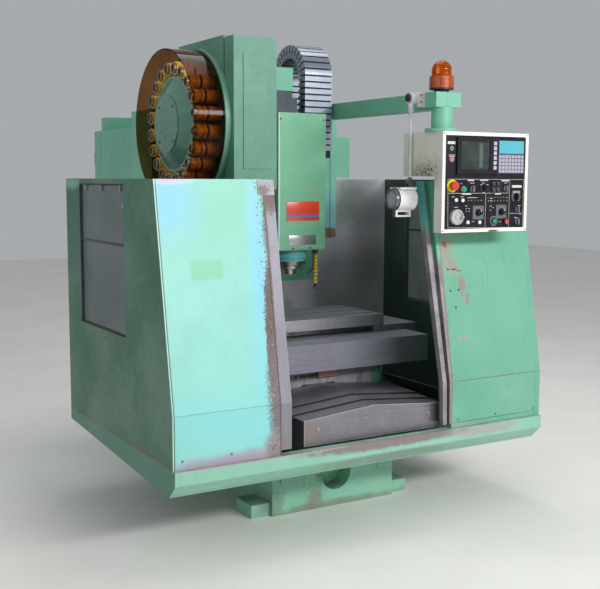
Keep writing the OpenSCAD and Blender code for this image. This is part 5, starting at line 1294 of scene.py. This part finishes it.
class MACHINE_OT_face_print(MachineOperator):
    """Adds the printed outlines, bare plates, dial ticks and indicators of the control face"""
    bl_idname = "machine.face_print"
    bl_label = "Control face print"

    def work(self, paint, fittings, stage):
        half = fittings.line_w / MM / 2
        printed = (FACE_Y - 0.35, FACE_Y + 0.1)
        lines = Shape()
        for (xa, za), (xb, zb) in FACE_OUTLINES:
            length = math.hypot(xb - xa, zb - za)
            turn = Matrix.Rotation(-math.atan2(zb - za, xb - xa), 4, "Y")
            lines.box(about((xa + xb) / 2, length / 2 + half), printed, about((za + zb) / 2, half),
                      0.12, 1, turn)
        lines.piece("face_outlines", FINISHES["print"], "pendant")
        plates = Shape()
        for xa, xb, za, zb in FACE_PLATES:
            plates.box((xa, xb), (FACE_Y - 0.5, FACE_Y + 0.1), (za, zb), 0.3, 1)
        plates.piece("face_plates", FINISHES["ivory"], "pendant")
        marks = Shape()
        for xa, xb, z in FACE_LABELS:
            marks.box((xa, xb), printed, about(z, 1.1), 0.1, 1)
        marks.piece("face_labels", FINISHES["print"], "pendant")
        ticks = Shape()
        for centre, inner, outer, count, first, sweep, front in DIAL_TICKS:
            for k in range(count):
                angle = math.pi * (first + sweep * k / (count - 1)) + math.pi / 2
                x, z = on_circle(centre, (inner + outer) / 2, angle)
                turn = Matrix.Rotation(-angle, 4, "Y")
                ticks.box(about(x, (outer - inner) / 2), (front - 0.35, front + 0.1), about(z, 0.55),
                          0.1, 1, turn)
        ticks.piece("dial_ticks", FINISHES["print"], "pendant")
        lamps = Shape()
        for x, z, count in INDICATOR_ROWS:
            for k in range(count):
                lamps.turned((x + INDICATOR_PITCH * k, z), "Y", FACE_Y,
                             [(0.0, -2.0), (1.8, -1.7), (2.8, -0.8), (3.1, 0.1), (0.0, 0.1)], 16)
        lens = layered("indicator_lens", 0.2, (90.0, 0.3, "#6b3f34", "#c9b28e"),
                       Coat_Weight=0.3, Coat_Roughness=0.1)
        lamps.piece("indicator_lamps", lens, "pendant")


class MACHINE_OT_pendant_fittings(MachineOperator):
    """Adds the start button's guard, the keys of the switch block, lamp rings, key switch and screws"""
    bl_idname = "machine.pendant_fittings"
    bl_label = "Pendant fittings"

    def work(self, paint, fittings, stage):
        guard = Shape()
        outline = [on_circle((564, 1330), 21, math.radians(-55 + 290 * k / 24)) for k in range(25)]
        outline += [(553, 1309.5), (564, 1306.5), (575, 1309.5)]
        guard.prism(outline, "Y", (FACE_Y - 1.6, FACE_Y), 0.5, 1)
        guard.turned(START_XZ, "Y", FACE_Y,
                     [(17.0, -1.7), (17.2, -4.4), (19.4, -4.4), (20.2, -1.6), (17.0, -1.6)], 40)
        guard.piece("start_guard", FINISHES["grey"], "pendant")
        keys = Shape()
        for x in (560, 586):
            for z in (1467, 1493):
                keys.box(about(x, 10), (FACE_Y - 6.0, FACE_Y - 2.8), about(z, 10), 1.2)
        keys.piece("switch_keys", FINISHES["black"], "pendant")
        rings = Shape()
        for centre, r in (((320, 1599), 12.5), (START_LAMP_XZ, 13.0)):
            rings.turned(centre, "Y", FACE_Y,
                         [(r - 2.6, 0.1), (r - 2.6, -2.6), (r - 1.2, -3.2), (r, -1.6), (r, 0.1)], 36)
        rings.piece("lamp_rings", FINISHES["ivory"], "pendant")
        lock = Shape()
        lock.turned((319, 1644), "Y", FACE_Y, [(0.0, -3.0), (5.6, -3.0), (6.0, -4.2), (9.4, -3.8),
                                               (10.6, -1.6), (10.6, 0.1), (0.0, 0.1)], 36)
        lock.box((317.8, 320.2), (FACE_Y - 8.0, FACE_Y - 2.8), (1638.5, 1649.5), 0.6)
        lock.piece("key_switch", FINISHES["grey"], "pendant")
        x, y, z = node_box("pendant_box")
        places = [(across, y[0], up) for up in (z[0] + 8, z[1] - 8) for across in (x[0] + 7, x[1] - 7)]
        add_screws("pendant_screws", "screw", "pendant", "bare_steel", places, "Y", -1, 3.2, 1.4)


class MACHINE_OT_lamp_fittings(MachineOperator):
    """Adds the work lamp's lens and the screws of its bracket"""
    bl_idname = "machine.lamp_fittings"
    bl_label = "Lamp fittings"

    def work(self, paint, fittings, stage):
        lens = Shape()
        lens.turned(LAMP_YZ, "X", node_box("lamp_head")[0][0],
                    [(0.0, 1.0), (14.0, 1.6), (28.0, 3.2), (38.0, 5.6), (41.0, 7.4), (41.0, 9.0), (0.0, 9.0)], 48)
        lens.piece("lamp_lens", self.lens_glass(), "lamp", 50.0)
        screws = Shape()
        screws.screws([(252.0, -893, z) for z in (1845, 1874)], "X", -1, 4.6, 2.2)
        front = node_box("lamp_bracket")[1][0]
        screws.screws([(x, front, 1862) for x in (285, 300)], "Y", -1, 4.0, 2.0)
        screws.piece("lamp_bracket_screws", FINISHES["dark_screw"], "frame")

    def lens_glass(self):
        skin = Finish("lamp_lens", 0.12, Specular_IOR_Level=0.7)
        skin.raise_by(skin.ground((40.0, 300.0, 40.0), "#6f727a", "#c9ccd2"))
        return skin.done(0.3)


class MACHINE_OT_beacon_glass(MachineOperator):
    """Adds the beacon's amber dome with its rounded top, in place of the plain packed one"""
    bl_idname = "machine.beacon_glass"
    bl_label = "Beacon dome"

    def work(self, paint, fittings, stage):
        x, y, z = node_box("beacon_dome")
        radius, wall, steps = (x[1] - x[0]) / 2, 2.5, 12
        body = radius - 1.6
        shoulder = z[1] - 0.92 * radius
        outer = [(radius, z[0]), (radius, z[0] + 5), (radius - 1.2, z[0] + 6), (body, shoulder)]
        inner = [(body - wall, z[0]), (body - wall, shoulder)]
        for k in range(1, steps + 1):
            angle = math.pi / 2 * k / steps
            for line, gap in ((outer, 0.0), (inner, wall)):
                rise = z[1] - gap - shoulder
                line.append(((body - gap) * math.cos(angle), shoulder + rise * math.sin(angle)))
        dome = Shape()
        dome.turned((sum(x) / 2, sum(y) / 2), "Z", 0.0, outer + list(reversed(inner)) + outer[:1], 64)
        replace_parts(dome.piece("beacon_glass", self.amber(), "frame"), "beacon_dome")

    def amber(self):
        skin = Finish("amber_glass", 0.06, Transmission_Weight=0.85, IOR=1.25)
        skin.blotch(10.0, 0.3, "#dc7208", "#f59a2a")
        skin.lay("dust", (20.0, 0.3), "#9c8a74", 0.6)
        skin.clear_to_shadows(0.7)
        return skin.done()


class MACHINE_OT_chain_pins(MachineOperator):
    """Adds the pins of the cable chain's links on both of its sides"""
    bl_idname = "machine.chain_pins"
    bl_label = "Chain pins"

    def work(self, paint, fittings, stage):
        x, y, z = node_box("cable_chain")
        half = (y[1] - y[0]) / 2
        middle, arch_z = sum(y) / 2, z[1] - half
        reach, pitch, turns = half - 32.5, 31.0, 15
        places = [(middle + side * reach, arch_z - pitch * (k + 0.5))
                  for side, count in ((-1, 12), (1, 10)) for k in range(count)]
        places += [on_circle((middle, arch_z), reach, math.pi * (k + 0.4) / turns) for k in range(turns)]
        pins = Shape()
        for place in places:
            for face, out in ((x[0], -1), (x[1], 1)):
                pins.turned(place, "X", face, [(0.0, 1.2), (4.0, 1.2), (5.4, 0.5), (5.4, -0.6), (0.0, -0.6)],
                            12, out)
        pins.piece("chain_pins", FINISHES["dark_screw"], "chain")


class MACHINE_OT_saddle_fittings(MachineOperator):
    """Adds the pink terminal block and the brass oil pipe on the front of the saddle"""
    bl_idname = "machine.saddle_fittings"
    bl_label = "Saddle fittings"

    def work(self, paint, fittings, stage):
        front = SADDLE_FRONT
        block = Shape()
        block.box((-14, 98), (front - 26, front + 0.5), (586, 622), 3.0)
        block.box((-8, 92), (front - 30, front - 25), (592, 616), 1.5)
        block.screws([(x, front - 30, 604) for x in (0, 84)], "Y", -1, 3.6, 1.6)
        block.piece("saddle_block", moulded("pink_plastic", "#c9877f", paint, 0.45, 0.5), "saddle_unit")
        pipe = Shape()
        pipe.rod([(-104, front - 12, 590), (-60, front - 13, 592), (-14, front - 12, 594)], [3.4] * 3)
        for x in (-84, -48, -24):
            pipe.turned((front - 12.5, 591.5), "X", x,
                        [(0.0, -8), (6.4, -8), (7.0, -6), (7.0, 6), (6.4, 8), (0.0, 8)], 6)
        brass = metal_sheet("brass", "#b7a34a", paint, 0.3, (200.0, 200.0, 200.0), 0.5, 0.0, 0.9)
        pipe.piece("oil_pipe", brass, "saddle_unit")


class MACHINE_OT_cabinet_fittings(MachineOperator):
    """Adds the door hinges and the wire guards of the fans on the electrical cabinet"""
    bl_idname = "machine.cabinet_fittings"
    bl_label = "Cabinet fittings"

    def work(self, paint, fittings, stage):
        for side, body, x in (("left", "door_left", -486.0), ("right", "door_right", 486.0)):
            hinges = Shape()
            for z in (640, 1130, 1620):
                hinges.box(about(x, 13), (DOOR_BACK, DOOR_BACK + 3), about(z, 34), 0.8)
                hinges.turned((x + math.copysign(8.0, x), DOOR_BACK + 6), "Z", z,
                              [(0.0, -34), (5.4, -34), (6.2, -32), (6.2, 32), (5.4, 34), (0.0, 34)], 16)
            hinges.piece(side + "_door_hinges", FINISHES["dark_screw"], body)
        x, y, z = node_box("cabinet_fan_box")
        top = z[1]
        guards = Shape()
        for fan in (-300, 0, 300):
            centre = (fan, sum(y) / 2)
            for radius in (14, 26, 38, 50):
                ring = [(*on_circle(centre, radius, math.pi * k / 16), top + 2.4) for k in range(32)]
                guards.rod(ring, [1.5] * 32, 6, True)
            for k in range(4):
                angle = math.pi / 4 + math.pi / 2 * k
                guards.rod([(*on_circle(centre, r, angle), top + 0.9) for r in (10, 52)], [1.6] * 2, 6)
            guards.turned(centre, "Z", top, [(0.0, -0.5), (12.0, -0.5), (12.0, 0.6), (0.0, 0.6)], 24)
        guards.piece("fan_guards", FINISHES["screw"], "frame")


class MACHINE_OT_magazine_fittings(MachineOperator):
    """Adds the hub bolts and the screws of the shroud's clamp ring on the tool magazine"""
    bl_idname = "machine.magazine_fittings"
    bl_label = "Magazine fittings"

    def work(self, paint, fittings, stage):
        hub_x = node_box("magazine_drum")[0][0]
        places = [(hub_x + 6.0, *on_circle(DRUM_YZ, 60, 2 * math.pi * k / 8 + 0.2)) for k in range(8)]
        add_screws("hub_bolts", "screw", "drum", "bare_steel", places, "X", -1, 4.0, 2.4)
        places = [(-509.0, *on_circle(DRUM_YZ, 336, 2 * math.pi * (k + 0.5) / 12)) for k in range(12)]
        add_screws("shroud_ring_screws", "screw", "frame", "bare_steel", places, "X", -1, 3.4, 2.0)


class MACHINE_OT_head_fittings(MachineOperator):
    """Adds the spindle's air nozzle and the motor's cover screws"""
    bl_idname = "machine.head_fittings"
    bl_label = "Head fittings"

    def work(self, paint, fittings, stage):
        nozzle = Shape()
        nozzle.rod([(80, -276, 1172), (80, -280, 1150), (80, -283, 1118), (79, -284, 1092), (77, -281, 1074),
                    (72, -272, 1062), (64, -262, 1057)], [4.2, 4.2, 4.0, 3.8, 3.6, 3.2, 2.6])
        nozzle.turned((80, -278), "Z", 1157.0,
                      [(0.0, 19), (6.4, 19), (6.8, 15), (6.8, 3), (5.4, 0), (0.0, 0)], 24)
        nozzle.piece("air_nozzle", FINISHES["black"], "head")
        top = node_box("spindle_motor")[2][1]
        places = [(x, y, top) for x in (-50, 50) for y in (-86, 16)]
        add_screws("motor_cap_screws", "dark_screw", "head", "dull_steel", places, "Z", 1, 4.0, 1.2)


class MACHINE_OT_stage(MachineOperator):
    """Adds the pale floor, the soft studio light and the camera"""
    bl_idname = "machine.stage"
    bl_label = "Stage"

    def work(self, paint, fittings, stage):
        scene = bpy.context.scene
        self.add_floor(stage.floor)
        self.add_lights(stage)
        self.add_camera(stage)
        world = bpy.data.worlds.new("studio")
        world.use_nodes = True
        back = world.node_tree.nodes["Background"]
        back.inputs["Color"].default_value = (0.92, 0.96, 1.0, 1.0)
        back.inputs["Strength"].default_value = stage.fill
        scene.world = world
        scene.view_settings.view_transform = "Standard"

    def add_floor(self, colour):
        made = bmesh.new()
        bmesh.ops.create_grid(made, x_segments=8, y_segments=8, size=FLOOR_REACH)
        mesh = bpy.data.meshes.new("floor")
        made.to_mesh(mesh)
        made.free()
        mesh.materials.append(layered("floor", 0.7, (1.2, 0.2, darker(colour, 0.93), colour),
                                      bump=0.05, grain=60.0))
        floor = bpy.data.objects.new("floor", mesh)
        bpy.context.scene.collection.objects.link(floor)

    def add_lights(self, stage):
        """Each row: name, place, aim, width and height, share of the key light's power, and tint."""
        for name, place, aim, size, share, tint in (
                ("key_light", (1.4, -6.4, 3.5), (0.1, -0.6, 0.9), (4.2, 0.7), 1.0, (0.97, 0.98, 1.0)),
                ("left_light", (-5.0, -1.5, 3.6), (-0.3, -0.2, 1.0), (3.0, 3.0), 0.085, (0.92, 0.96, 1.0)),
                ("top_light", (0.6, 0.6, 5.4), (0.0, 0.0, 1.2), (3.2, 3.2), 0.3, WHITE)):
            lamp = bpy.data.lights.new(name, "AREA")
            lamp.shape = "RECTANGLE"
            lamp.size, lamp.size_y = size
            lamp.energy = stage.key * share
            lamp.color = tint
            thing = bpy.data.objects.new(name, lamp)
            thing.location = place
            thing.rotation_euler = (Vector(aim) - Vector(place)).to_track_quat("-Z", "Y").to_euler()
            bpy.context.scene.collection.objects.link(thing)

    def add_camera(self, stage):
        yaw, pitch, roll = (math.radians(a) for a in CAMERA_ANGLES)
        ahead = Vector((math.sin(yaw) * math.cos(pitch), math.cos(yaw) * math.cos(pitch), -math.sin(pitch)))
        level = Vector((math.cos(yaw), -math.sin(yaw), 0.0))
        up = level.cross(ahead)
        right = level * math.cos(roll) + up * math.sin(roll)
        top = up * math.cos(roll) - level * math.sin(roll)
        turn = Matrix((right, top, -ahead)).transposed().to_4x4()
        lens = bpy.data.cameras.new("camera")
        lens.lens = stage.lens
        lens.sensor_fit = "HORIZONTAL"
        lens.sensor_width = 36.0
        lens.clip_end = 100.0
        camera = bpy.data.objects.new("camera", lens)
        camera.matrix_world = Matrix.Translation(CAMERA_PLACE) @ turn
        bpy.context.scene.collection.objects.link(camera)
        bpy.context.scene.camera = camera


STEPS = (
    MACHINE_OT_effects, MACHINE_OT_guard_finish, MACHINE_OT_casting_finish, MACHINE_OT_steel_finish,
    MACHINE_OT_magazine_finish, MACHINE_OT_pendant_finish, MACHINE_OT_lamp_and_beacon_finish,
    MACHINE_OT_fitting_finishes, MACHINE_OT_head_plates, MACHINE_OT_window_fittings, MACHINE_OT_guard_fasteners,
    MACHINE_OT_screen_glass, MACHINE_OT_face_print, MACHINE_OT_pendant_fittings, MACHINE_OT_lamp_fittings,
    MACHINE_OT_beacon_glass, MACHINE_OT_chain_pins, MACHINE_OT_saddle_fittings, MACHINE_OT_cabinet_fittings,
    MACHINE_OT_magazine_fittings, MACHINE_OT_head_fittings, MACHINE_OT_stage,
)


class MACHINE_PT_panel(bpy.types.Panel):
    """Lists the steps that dress the machine, in the order in which they run"""
    bl_idname = "MACHINE_PT_panel"
    bl_label = "CNC Machining Center"
    bl_space_type = "VIEW_3D"
    bl_region_type = "UI"
    bl_category = "Machine"

    def draw(self, context):
        column = self.layout.column()
        for step in STEPS:
            column.operator(step.bl_idname)


SETTINGS = (PaintSettings, FittingSettings, StageSettings)


def register():
    for kind in SETTINGS + STEPS + (MACHINE_PT_panel,):
        bpy.utils.register_class(kind)
    bpy.types.Scene.machine_paint = PointerProperty(type=PaintSettings)
    bpy.types.Scene.machine_fittings = PointerProperty(type=FittingSettings)
    bpy.types.Scene.machine_stage = PointerProperty(type=StageSettings)


def unregister():
    del bpy.types.Scene.machine_stage
    del bpy.types.Scene.machine_fittings
    del bpy.types.Scene.machine_paint
    for kind in reversed(SETTINGS + STEPS + (MACHINE_PT_panel,)):
        bpy.utils.unregister_class(kind)


def main():
    register()
    for step in STEPS:
        call = getattr(bpy.ops.machine, step.bl_idname.split(".")[1])
        if call() != {"FINISHED"}:
            raise RuntimeError(step.bl_label + " didn't finish")


if __name__ == "__main__":
    main()
